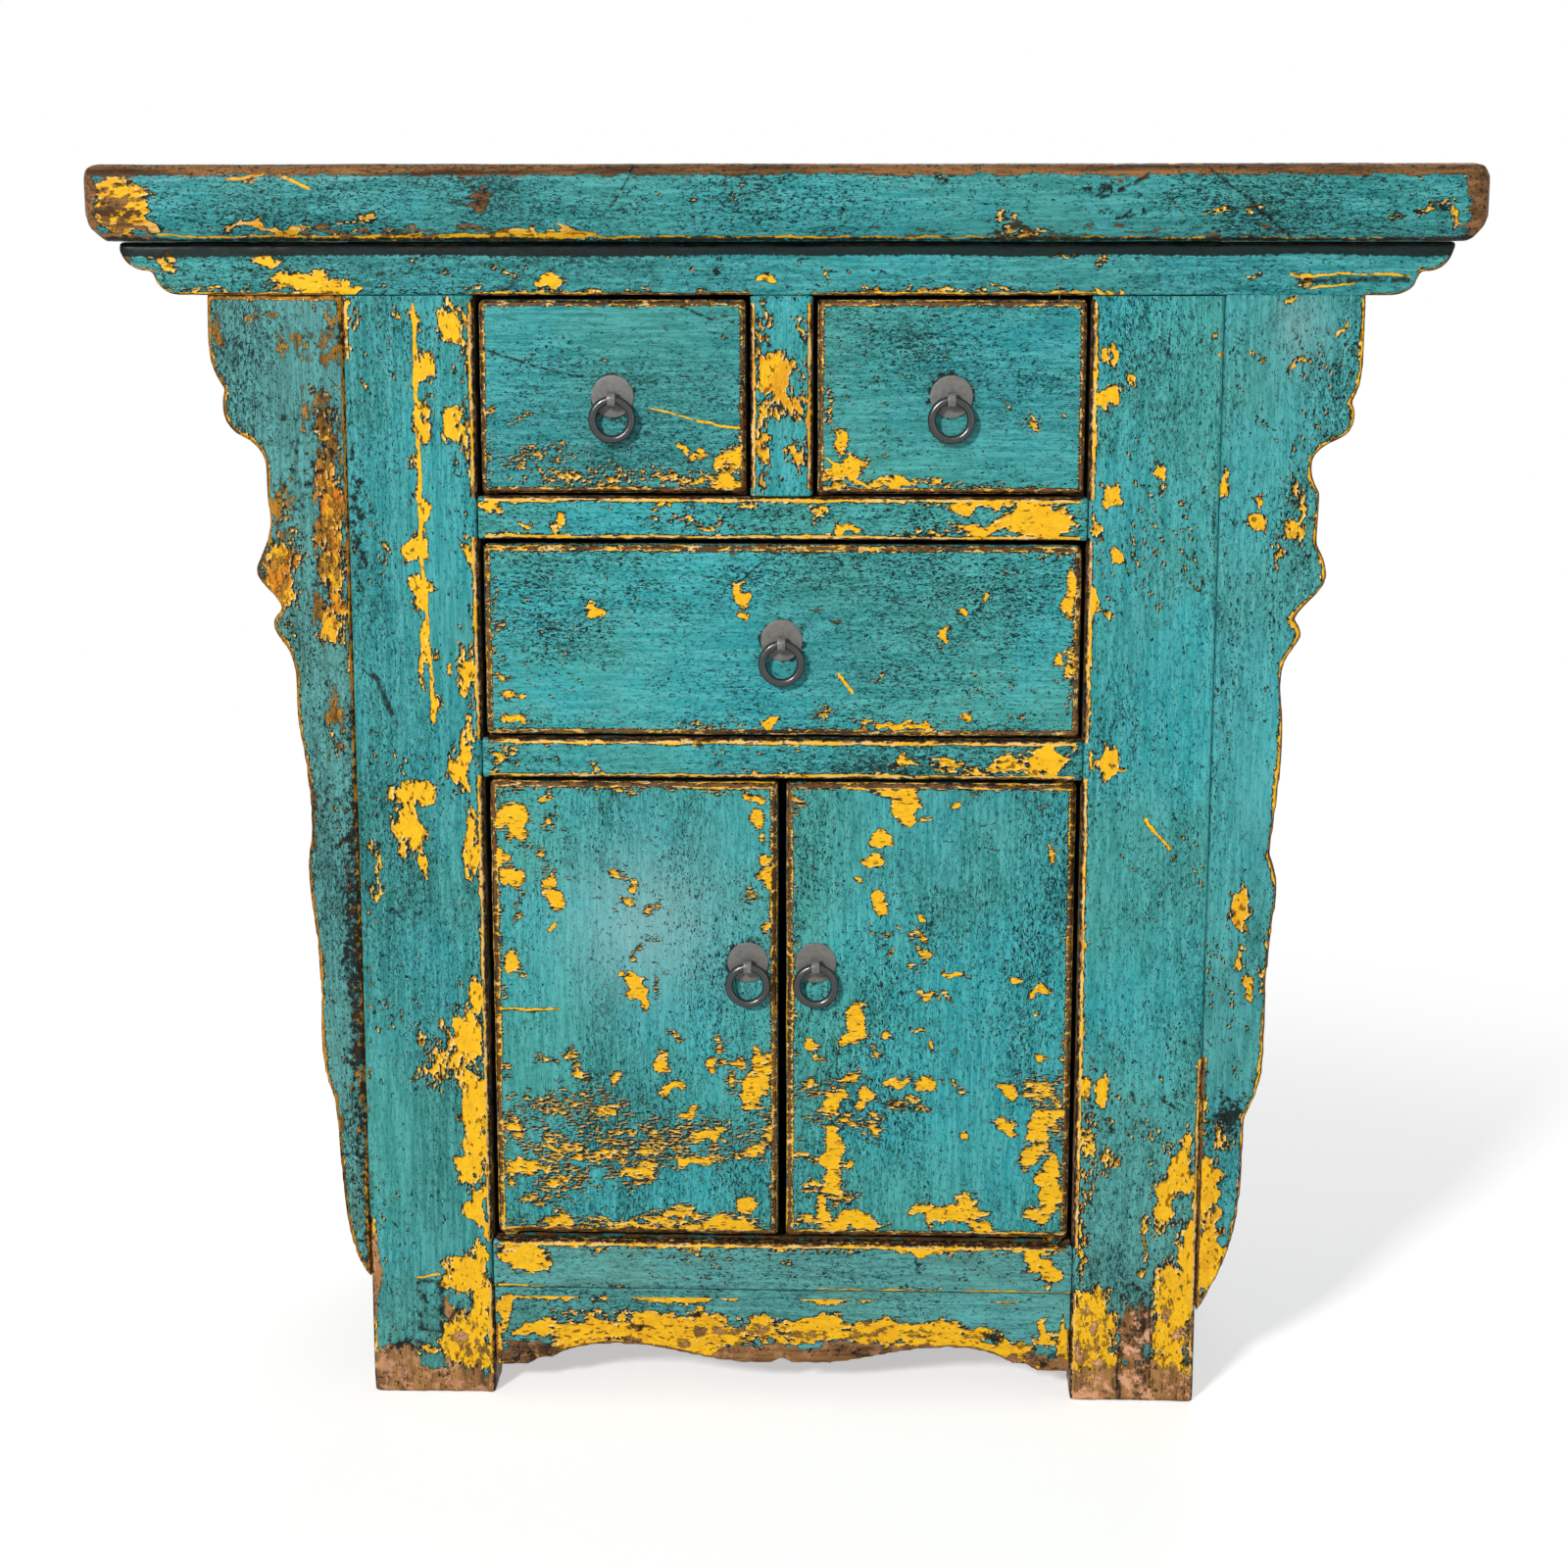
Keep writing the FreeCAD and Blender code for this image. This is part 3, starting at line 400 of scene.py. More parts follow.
def paintedWood(piece):
    material, tree, shader = newMaterial("paint_" + piece["node"])
    place = put(tree, "TexCoord").outputs["Object"]
    shift = tuple(piece["seed"] * step for step in (0.37, 0.53, 0.71))
    even = stretched(tree, place, (1, 1, 1), shift)
    grain = stretched(tree, place, along(piece["along"], grainStretch), shift)
    dash = stretched(tree, place, along(piece["along"], 0.42), shift)
    fine = piece["chipScale"]
    chipAxes = along(piece.get("chipAlong", piece["along"]), piece["chipStretch"])
    spot = stretched(tree, place, tuple(fine * f for f in chipAxes), shift)
    facts = {"Grain": grain, "Spot": dash, "Amount": piece["flecks"]}
    marks = put(tree, "Group", facts, node_tree=grainMarks).outputs
    golden = scratches(tree, place, piece["goldLines"])
    blotch = cloud(tree, even, 190.0, 3.0, 0.7)
    dark = times(tree, scratches(tree, place, piece["darkLines"]), fade(tree, blotch, 0.36, 0.56))
    speckle = times(tree, calc(tree, "SUBTRACT", blotch, 0.5), 2.2)
    # dirt, together with painted shade on the edges, in the reveals, round the plates and under the top
    dirtAndShade = fade(tree, added(tree, attribute(tree, "dirtAndShade"), speckle), 0.38, 0.72)
    rim = attribute(tree, "rim")
    facts = {
        "Spot": spot,
        "Nudge": (-litEdge * mm * fine * chipAxes[0], 0, litEdge * mm * fine * chipAxes[2]),
        "Place": even,
        "Chip": added(tree, attribute(tree, "chip"), times(tree, golden, 1.1)),
        "Rim": rim,
        "Gold": piece["gold"],
        "Brown": piece["brown"],
        "Bare": attribute(tree, "bare"),
    }
    loss = put(tree, "Group", facts, node_tree=paintLoss).outputs

    facts = {"Grain": grain, "Pale": piece["woodPale"]}
    wood = put(tree, "Group", facts, node_tree=woodGrain).outputs
    timber = blend(tree, piece["amber"], wood["Color"], oldWood["amber"], "MULTIPLY")
    bleached = fade(tree, cloud(tree, even, 75.0, 4.0, 0.65), 0.48, 0.62)
    timber = layered(tree, timber, [
        (bleached, piece["ash"], oldWood["ash"]),
        (marks["Flecks"], 0.8, oldWood["deep"]),
    ])

    warmth = piece["goldWarm"]
    warmer = added(tree, 0.3 * warmth, times(tree, loss["Warm"], 0.7 * warmth))
    # painted highlight: the yellow turns cream on the turn of the arris
    arris = times(tree, inverse(tree, fade(tree, rim, 0.1, 1.0)), 0.75)
    gold = blend(tree, warmer, yellowCoat["body"], yellowCoat["warm"])
    gold = layered(tree, gold, [
        (loss["Veins"], 0.1 + 0.5 * warmth, yellowCoat["speck"]),
        (arris, inverse(tree, loss["Warm"]), yellowCoat["arris"]),
        (loss["Lit"], 0.75, yellowCoat["rim"]),
        (loss["Specks"], 0.8, yellowCoat["speck"]),
        (loss["Shade"], 0.5, yellowCoat["speck"]),
    ])

    hue = fade(tree, cloud(tree, even, 6.0, 3.0, 0.6), 0.35, 0.65)
    color = blend(tree, hue, tealPaint["green"], tealPaint["blue"])
    color = blend(tree, 0.45, color, tealPaint["body"])
    color = blend(tree, piece["shade"], color, tealPaint["deep"])
    height = put(tree, "SeparateXYZ", {0: place}).outputs["Z"]
    below = inverse(tree, fade(tree, height, 0.02, piece["greyTop"] * mm))
    ink = added(tree, 0.8, times(tree, marks["Tone"], 0.2))
    color = layered(tree, color, [
        (below, piece["grey"], tealPaint["grey"]),
        (inverse(tree, marks["Tone"]), 0.35, tealPaint["deep"]),
        (marks["Streaks"], 0.45, tealPaint["pale"]),
        (marks["Hairs"], 0.4, tealPaint["deep"]),
        (marks["Mottle"], 0.68, tealPaint["shadow"]),
        (attribute(tree, "paintedSheen"), 0.6, tealPaint["paintedSheen"]),
        (marks["Flecks"], ink, tealPaint["fleck"]),
        (loss["Outline"], 0.97, oldWood["grimeAndShade"]),
        (loss["Yellow"], 1.0, gold),
        (loss["WoodRim"], 0.75, oldWood["grimeAndShade"]),
        (loss["Wood"], 0.97, timber),
        (dirtAndShade, 0.95, oldWood["grimeAndShade"]),
        (dark, 0.9, oldWood["grimeAndShade"]),
    ])
    tree.links.new(color, shader.inputs["Base Color"])

    rough = added(
        tree,
        0.34,
        times(tree, marks["Flecks"], 0.2),
        times(tree, loss["Yellow"], 0.08),
        times(tree, loss["Wood"], 0.16),
    )
    tree.links.new(rough, shader.inputs["Roughness"])
    shader.inputs["Specular IOR Level"].default_value = woodGloss
    lost = added(tree, times(tree, loss["Depth"], 0.6), times(tree, dark, 0.9))
    bumped(tree, shader, inverse(tree, lost), 0.7, 1.0)
    return material


def rawWood(name, axis, seed, pale):
    material, tree, shader = newMaterial(name)
    place = put(tree, "TexCoord").outputs["Object"]
    shift = tuple(seed * step for step in (0.41, 0.29, 0.83))
    grain = stretched(tree, place, along(axis, grainStretch), shift)
    wood = put(tree, "Group", {"Grain": grain, "Pale": pale}, node_tree=woodGrain).outputs
    patch = fade(tree, cloud(tree, stretched(tree, place, along(axis, 0.3), shift), 14.0), 0.4, 0.7)
    color = layered(tree, wood["Color"], [
        (patch, 0.55, oldWood["body"]),
        (inverse(tree, patch), 0.25, oldWood["grimeAndShade"]),
    ])
    tree.links.new(color, shader.inputs["Base Color"])
    tree.links.new(added(tree, 0.55, times(tree, patch, 0.2)), shader.inputs["Roughness"])
    shader.inputs["Specular IOR Level"].default_value = woodGloss
    bumped(tree, shader, wood["Height"], 0.5, 0.5)
    return material


def ironFinish(name, tones, rough, metallic, gloss=0.5):
    material, tree, shader = newMaterial(name)
    place = put(tree, "TexCoord").outputs["Object"]
    blotch = fade(tree, cloud(tree, place, 240.0, 4.0, 0.6), 0.35, 0.7)
    pits = cloud(tree, place, 1500.0, 2.0, 0.6)
    tree.links.new(blend(tree, blotch, tones[0], tones[1]), shader.inputs["Base Color"])
    shader.inputs["Metallic"].default_value = metallic
    shader.inputs["Specular IOR Level"].default_value = gloss
    tree.links.new(added(tree, rough, times(tree, blotch, 0.14)), shader.inputs["Roughness"])
    bumped(tree, shader, pits, 0.25, 0.2)
    return material


print("finishes made")


# boards made from the CAD solids: finely meshed, eased and worn
def mergedCopy(node):
    work = bmesh.new()
    work.from_mesh(cadNodes[node].data)
    bmesh.ops.remove_doubles(work, verts=work.verts, dist=1e-6)
    return work


def meshFrom(work, name):
    mesh = bpy.data.meshes.new(name)
    work.to_mesh(mesh)
    work.free()
    return mesh


def applied(thing):
    # the mesh that the modifiers make; the object itself goes
    graph = bpy.context.evaluated_depsgraph_get()
    made = bpy.data.meshes.new_from_object(thing.evaluated_get(graph))
    bpy.data.objects.remove(thing)
    return made


def looseParts(work):
    work.verts.index_update()
    left = set(work.verts)
    for start in work.verts:
        if start not in left:
            continue
        left.discard(start)
        part = {start.index}
        ahead = [start]
        while ahead:
            vert = ahead.pop()
            for edge in vert.link_edges:
                other = edge.other_vert(vert)
                if other in left:
                    left.discard(other)
                    part.add(other.index)
                    ahead.append(other)
        yield part


def spansOf(work):
    # lowest and highest corner of each separate solid
    spans = []
    for part in looseParts(work):
        points = np.array([v.co for v in work.verts if v.index in part])
        spans.append((points.min(0), points.max(0)))
    return spans


def remeshed(work, voxel):
    mesh = meshFrom(work, "work")
    thing = linked("work", mesh)
    remesh = thing.modifiers.new("fine", "REMESH")
    remesh.mode = "VOXEL"
    remesh.voxel_size = voxel
    made = applied(thing)
    bpy.data.meshes.remove(mesh)
    return made


def fineMesh(node, voxel):
    whole = mergedCopy(node)
    parts = list(looseParts(whole))
    whole.free()
    joined = bmesh.new()
    for part in parts:
        work = mergedCopy(node)
        work.verts.index_update()
        spare = [v for v in work.verts if v.index not in part]
        bmesh.ops.delete(work, geom=spare, context="VERTS")
        made = remeshed(work, voxel)
        joined.from_mesh(made)
        bpy.data.meshes.remove(made)
    return meshFrom(joined, node)


def readArray(source, key, width, kind=np.float32):
    data = np.empty(len(source) * width, kind)
    source.foreach_get(key, data)
    return data.reshape(-1, width)


def smoothed(points, edges, steps):
    a, b = edges[:, 0], edges[:, 1]
    count = len(points)
    degree = np.bincount(a, minlength=count) + np.bincount(b, minlength=count)
    for _ in range(steps):
        total = np.empty_like(points)
        for k in range(3):
            total[:, k] = np.bincount(a, points[b, k], count) + np.bincount(b, points[a, k], count)
        points = 0.5 * points + 0.5 * total / degree[:, None]
    return points


def waves(points, size, seed):
    # smooth rolling noise, about -1 to 1, with bumps of the given size
    random = np.random.default_rng(seed)
    total = np.zeros(len(points))
    for _ in range(7):
        heading = random.normal(size=3)
        heading *= (0.7 + 0.6 * random.random()) * 6.0 / (size * np.linalg.norm(heading))
        total += np.sin(points @ heading + random.random() * 6.28)
    return total / 3.2


def setAttribute(mesh, name, values):
    layer = mesh.attributes.new(name, "FLOAT", "POINT")
    layer.data.foreach_set("value", np.asarray(values, np.float32))


bandWidth = 1000  # a mark wider than this is a level band along the whole board


def marksField(points, marks, seed, ragged=1.0):
    # a mark is x, z, half width and half height in millimetres on the front, and a strength;
    # a strength above 1 gives it a firm edge
    straight = points[:, (0, 2)] / mm
    drift = [3.4 * waves(points, 0.026, seed + k) + 2.2 * waves(points, 0.011, seed + k + 1) for k in (0, 2)]
    warped = straight + ragged * np.stack(drift, 1)
    field = np.zeros(len(points))
    for markX, markZ, halfWidth, halfHeight, strength in marks:
        if halfWidth > bandWidth:
            away = np.abs(straight[:, 1] - markZ + 0.8 * waves(points, 0.09, seed)) / halfHeight
            field = np.maximum(field, strength * np.clip(0.5 + 3 * (1 - away), 0, 1))
            continue
        reach = (((warped - (markX, markZ)) / (halfWidth, halfHeight)) ** 2).sum(1)
        solid = 1.12 * np.exp(-1.1 * reach**2) if strength > 1 else np.exp(-0.7 * reach)
        field = np.maximum(field, strength * solid)
    return field


def calmField(points, boxes):
    # 1 everywhere, near 0 inside the boxes x0, z0, x1, z1 in millimetres where boards join flush
    field = np.ones(len(points))
    x = points[:, 0] / mm
    z = points[:, 2] / mm
    for x0, z0, x1, z1 in boxes:
        inside = np.minimum(np.minimum(x - x0, x1 - x), np.minimum(z - z0, z1 - z))
        field = np.minimum(field, 1 - 0.9 * np.clip(inside / 2 + 0.5, 0, 1))
    return field


rimReach = 0.015  # metres
cornerAngle = 0.12  # radians; flatter edges of the CAD solid count as one face


def rimField(node, points):
    # distance from the nearest edge of the CAD solid that turns a corner, up to rimReach
    work = mergedCopy(node)
    rim = np.full(len(points), rimReach)
    for edge in work.edges:
        if len(edge.link_faces) == 2 and edge.calc_face_angle(0) > cornerAngle:
            start, end = (np.array(v.co) for v in edge.verts)
            low = np.minimum(start, end) - rimReach
            high = np.maximum(start, end) + rimReach
            near = np.flatnonzero(((points > low) & (points < high)).all(1))
            run = end - start
            offset = points[near] - start
            share = np.clip(offset @ run / (run @ run), 0, 1)
            apart = np.linalg.norm(offset - share[:, None] * run, axis=1)
            rim[near] = np.minimum(rim[near], apart)
    work.free()
    return rim


wearRules = {
    "voxel": 2.0,  # mesh size, in millimetres
    "spread": 6.0,  # how far the easing reaches in from an arris
    "sharpest": 98.0,  # percentile of the mesh that counts as a full arris
    "gold": 1.25,  # width of the yellow line inside an arris
    "brown": -1.0,  # width of the bare line on the arris itself
    "edgeDirtAndShade": 0.75,  # dirt and painted shade on the turn of the arris into the gap
    "turn": 2.5,  # how far the line moves round the corner
    "ease": 2.2,  # rounding of the arrises
    "chew": 1.3,  # depth of the nicks along them
    "wobble": 0.3,  # unevenness of the faces
    "base": 0.06,  # wear everywhere
    "patches": 0.27,  # wear in broad patches
    "rubbed": 0.0,  # patches rubbed down to the wood along the grain
    "rubbedUp": False,  # only on the faces turned up
    "sunk": 0.0,  # room left for a drawer sliding over the piece
    "headTight": False,  # no slit of light between the head and the piece over it
    "edgeBare": 0.0,  # bare wood on the faces turned away from the front
    "bareWithin": 238.0,  # how far from the middle that reaches
    "revealShadeTo": -170.0,  # how far back the reveals of the openings are painted black as shade
    "flecks": 0.0,  # more dark flecks in the paint
    "shade": 0.0,  # darker paint
    "grey": 0.0,  # dirt greying the lower part
    "greyTop": 9000,  # height at which that ends
    "goldWarm": 0.22,  # orange in the yellow coat
    "woodPale": 0.45,  # paleness of the bare wood
    "amber": 0.0,  # stain on the bare wood
    "ash": 0.0,  # bleaching of the bare wood
    "chipScale": 1.15,  # finer chips for higher values
    "chipStretch": 0.5,  # below 1 they lie along the grain, or along chipAlong
    "chips": [],  # marks of lost teal paint
    "bare": [],  # marks down to the wood
    "frontBare": [],  # the same on faces turned to the front
    "dirtAndShade": [],  # marks of dirt; the level bands under the top are painted shadow
    "paintedSheen": [],  # marks of painted sheen, a whitish reflection on the paint
    "goldLines": [],  # scratches: two ends in x and z, and a width
    "darkLines": [],
    "calm": [],  # boxes where boards join flush
}
# lengths of the uneven wear, in metres
wearSizes = {"nick": 0.045, "smallNick": 0.013, "hollow": 0.14, "patch": 0.16, "rub": 0.09, "smallRub": 0.032}
rubSeed = 61
tightHead = {"band": 2.0, "lap": 0.6}  # the top of a piece that is set into the one over it
plateDirtAndShade = {"reach": 1.13, "strength": 1.02}  # dirt and painted shade round the plate of a pull
# the room inside the carcass has no paint: its lowest and highest corner
unpainted = ((-310.5, -150, 100), (310.5, 189.5, 926))


def standIn(name, mesh, node, material):
    mesh.materials.clear()
    mesh.materials.append(material)
    thing = linked(name, mesh)
    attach(thing, bodyOf[node])
    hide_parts(node)


def wornBoard(piece):
    rules = {**wearRules, **piece}
    node = rules["node"]
    seed = rules["seed"]
    voxel = rules["voxel"]
    mesh = fineMesh(node, voxel * mm)
    co = readArray(mesh.vertices, "co", 3).astype(float)
    edges = readArray(mesh.edges, "vertices", 2, np.int32)
    normal = readArray(mesh.vertex_normals, "vector", 3).astype(float)

    soft = smoothed(co, edges, max(3, round(2 * (rules["spread"] / voxel) ** 2)))
    bulge = ((co - soft) * normal).sum(1)
    facing = np.clip(-normal[:, 1] * 1.6 + 0.2, 0, 1)
    arris = np.clip(bulge / np.percentile(bulge, rules["sharpest"]), 0, 1)
    lively = calmField(co, rules["calm"])
    arris *= lively
    turned = np.arccos(np.clip(-normal[:, 1], -1, 1)) / 1.57
    apart = rimField(node, co) / mm
    rim = apart - rules["turn"] * np.clip(turned, 0, 1) + 30 * (1 - lively)
    # dirt and painted shade on the faces that turn into the gaps
    grimeAndShade = rules["edgeDirtAndShade"] * np.clip(4 * turned - 1, 0, 1) * np.clip(1.5 - apart / 1.6, 0, 1) * lively
    eased = smoothed(co, edges, max(1, round(2 * (rules["ease"] / voxel) ** 2)))
    co += (eased - co) * np.clip(arris * 1.5, 0, 1)[:, None]
    chew = waves(co, wearSizes["nick"], seed) * 0.7 + waves(co, wearSizes["smallNick"], seed + 1) * 0.5
    chew = np.clip(chew, 0, 1)
    co -= normal * (arris * chew * rules["chew"] * mm)[:, None]
    hollow = (waves(co, wearSizes["hollow"], seed + 2) + 1) * 0.5 * rules["wobble"] + rules["sunk"]
    co -= normal * (hollow * mm)[:, None]
    if rules["headTight"]:
        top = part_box(node)[1][2]
        head = co[:, 2] > top - tightHead["band"] * mm
        co[head, 2] = top + tightHead["lap"] * mm
    mesh.vertices.foreach_set("co", co.astype(np.float32).ravel())
    mesh.update()
    mesh.shade_smooth()

    broad = np.clip(waves(co, wearSizes["patch"], seed + 5) * 0.6 + 0.2, 0, 1)
    chip = rules["base"] + rules["patches"] * broad
    chip = np.maximum(chip, marksField(co, rules["chips"], seed + 10) * facing)
    drawn = co * along(rules["along"], 0.28)
    rubbed = rules["rubbed"] + 0.34 * waves(drawn, wearSizes["rub"], rubSeed)
    rubbed += 0.2 * waves(drawn, wearSizes["smallRub"], rubSeed + 1)
    rubbed += 0.22 * np.clip((-0.13 - co[:, 1]) / 0.08, 0, 1)  # more towards the front
    rubbed = np.clip(rubbed, 0, 1.05) * (rules["rubbed"] > 0)
    if rules["rubbedUp"]:
        rubbed *= np.clip(2 * normal[:, 2] - 1, 0, 1)
    chip = np.maximum(chip, rubbed)
    inner = (np.abs(co[:, 0]) < rules["bareWithin"] * mm) * (1 - facing)
    bare = np.maximum(marksField(co, rules["bare"], seed + 20, 0.6), rules["edgeBare"] * inner)
    bare = np.maximum(bare, marksField(co, rules["frontBare"], seed + 20) * facing)
    bare = np.maximum(bare, rubbed)
    low, high = (np.array(corner) * mm for corner in unpainted)
    bare = np.maximum(bare, 2.0 * np.all((co > low) & (co < high), axis=1))
    setAttribute(mesh, "chip", chip)
    setAttribute(mesh, "rim", rim)
    setAttribute(mesh, "bare", bare)
    dirtAndShadeMarks = list(rules["dirtAndShade"])
    plate = node.rsplit("_", 1)[0] + "_plate"
    if plate in cadNodes:
        low, high = np.array(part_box(plate)) / mm
        halo = (high[0] - low[0]) / 2 * plateDirtAndShade["reach"]
        middle = (low + high) / 2
        dirtAndShadeMarks.append((middle[0], middle[2], halo, halo, plateDirtAndShade["strength"]))
    dirtAndShade = marksField(co, dirtAndShadeMarks, seed + 30, 0.5) * facing
    # painted shade: the reveals inside the openings are darkened as if in shadow
    revealShade = inner * np.clip((rules["revealShadeTo"] * mm - co[:, 1]) / 0.004, 0, 1) * (rules["edgeBare"] > 0)
    setAttribute(mesh, "dirtAndShade", np.maximum(np.maximum(dirtAndShade, grimeAndShade), 0.8 * revealShade))
    setAttribute(mesh, "paintedSheen", marksField(co, rules["paintedSheen"], seed + 40) * facing)
    standIn(node + "_worn", mesh, node, paintedWood(rules))
    return len(mesh.polygons)


topWear = {
    "gold": -9.0,
    "brown": -9.0,
    "edgeDirtAndShade": 0.0,
    "flecks": 0.045,
    "rubbed": 0.46,
    "rubbedUp": True,
    "along": "x",
}
topFront = {
    "node": "top_front_plank",
    **topWear,
    "seed": 1,
    "voxel": 3.0,
    "shade": 0.25,
    "woodPale": 0.6,
    "frontBare": [
        (0, 991, 9000, 16, 1.5), (-496, 952, 27, 30, 0.9), (-300, 934, 200, 6, 0.8),
        (250, 934, 260, 5, 0.82),
    ],
    "goldWarm": 0.6,
    "chips": [
        (-495, 954, 24, 24, 1.3), (-476, 938, 14, 6, 1.1), (-385, 937, 42, 4, 1.05),
        (-318, 942, 17, 3, 0.95), (-300, 930, 60, 4, 0.8), (-190, 931, 44, 5, 1.05),
        (-300, 978, 24, 3, 0.8), (-385, 975, 30, 2.5, 0.7), (180, 933, 22, 4, 1.0),
        (165, 940, 12, 3, 0.85), (85, 978, 34, 3.5, 0.9), (125, 977, 14, 3.5, 0.95),
        (482, 950, 14, 4, 1.0), (496, 945, 5, 10, 1.05), (453, 944, 4, 6, 0.85), (330, 950, 40, 3, 0.6),
        (-60, 945, 8, 3, 0.7), (40, 950, 6, 3, 0.7),
    ],
    "bare": [
        (-526, 952, 13, 80, 1.6), (526, 952, 20, 80, 1.6), (-505, 962, 4, 3, 1.15),
        (-497, 950, 4, 4, 1.15), (-507, 946, 4, 5, 1.15), (-490, 958, 3, 3, 1.1), (-500, 937, 6, 3, 1.15),
        (-505, 930, 22, 4, 1.1), (-482, 949, 3, 3, 1.1), (-484, 933, 18, 7, 1.0), (-398, 936, 12, 3, 0.9),
        (-225, 957, 14, 16, 0.85), (-180, 958, 12, 7, 0.8), (-60, 972, 40, 4, 0.7),
        (260, 974, 50, 3, 0.7),
    ],
    # the level band at 924 is painted shadow along the lower edge of the top
    "dirtAndShade": [
        (240, 964, 26, 6, 0.6), (255, 946, 26, 5, 0.55), (350, 945, 30, 4, 0.45), (490, 948, 8, 14, 0.4),
        (-225, 958, 16, 18, 0.4), (0, 924, 9000, 6, 0.9), (0, 986, 9000, 6, 0.42),
        (515, 945, 12, 24, 0.4),
    ],
    "darkLines": [(313, 984, 378, 931, 2.0), (-110, 980, -125, 954, 1.6), (238, 958, 275, 975, 2.0)],
    "goldLines": [
        (-412, 972, -380, 977, 2.0), (-380, 977, -352, 966, 1.8), (-165, 940, -148, 929, 1.6),
        (-470, 931, -330, 930, 1.5), (-330, 930, -140, 932, 2.6), (-140, 930, 120, 930, 1.6),
        (120, 929.5, 330, 929.5, 1.1), (330, 929.5, 500, 929.5, 0.8),
    ],
}
topRear = {
    "node": "top_rear_plank",
    **topWear,
    "turn": 0.0,
    "seed": 2,
    "voxel": 3.5,
    "patches": 0.42,
    "shade": 0.2,
    "woodPale": 0.3,
    "bare": [(-526, 952, 13, 80, 1.6), (526, 952, 20, 80, 1.6)],
}
frieze = {
    "node": "frieze_board",
    "gold": 1.5,
    "brown": 0.3,
    "edgeDirtAndShade": 0.5,
    "edgeBare": 1.2,
    "shade": 0.32,
    "along": "x",
    "seed": 3,
    "chips": [
        (-365, 898, 28, 9, 1.25), (-342, 891, 30, 6, 1.2), (-392, 912, 13, 5, 1.05),
        (-466, 904, 9, 7, 0.95), (-472, 913, 14, 4, 0.85), (-430, 891, 34, 3, 0.9),
        (-176, 897, 8, 8, 1.15), (-11, 898, 10, 5, 1.15), (31, 898, 4, 2, 1.1), (120, 890, 90, 3, 0.85),
        (-130, 889, 110, 2.5, 0.8), (246, 890, 15, 4, 1.15), (241, 911, 5, 4, 0.85),
        (215, 918, 9, 3, 0.75), (396, 895, 8, 3.5, 1.0), (352, 902, 6, 2.5, 0.9), (-88, 918, 4, 2, 0.9),
        (-70, 907, 3, 2, 0.8),
    ],
    "bare": [
        (-480, 892, 40, 7, 0.85), (-500, 912, 14, 12, 0.8), (490, 900, 20, 16, 0.75),
        (300, 887, 40, 2, 0.6),
    ],
    # the level band at 929 is a painted shadow cast by the overhang of the top
    "dirtAndShade": [(-50, 905, 5, 3, 1.0), (-205, 897, 8, 6, 0.5), (0, 929, 9000, 12, 1.6)],
    "darkLines": [(388, 898, 470, 899, 3.6)],
    "goldLines": [(384, 902, 428, 903, 1.8), (428, 903, 472, 902, 1.5), (398, 893, 430, 896, 1.6)],
    "calm": [(-336, 870, -238, 891), (238, 870, 438, 891), (-22, 870, 22, 891)],
}
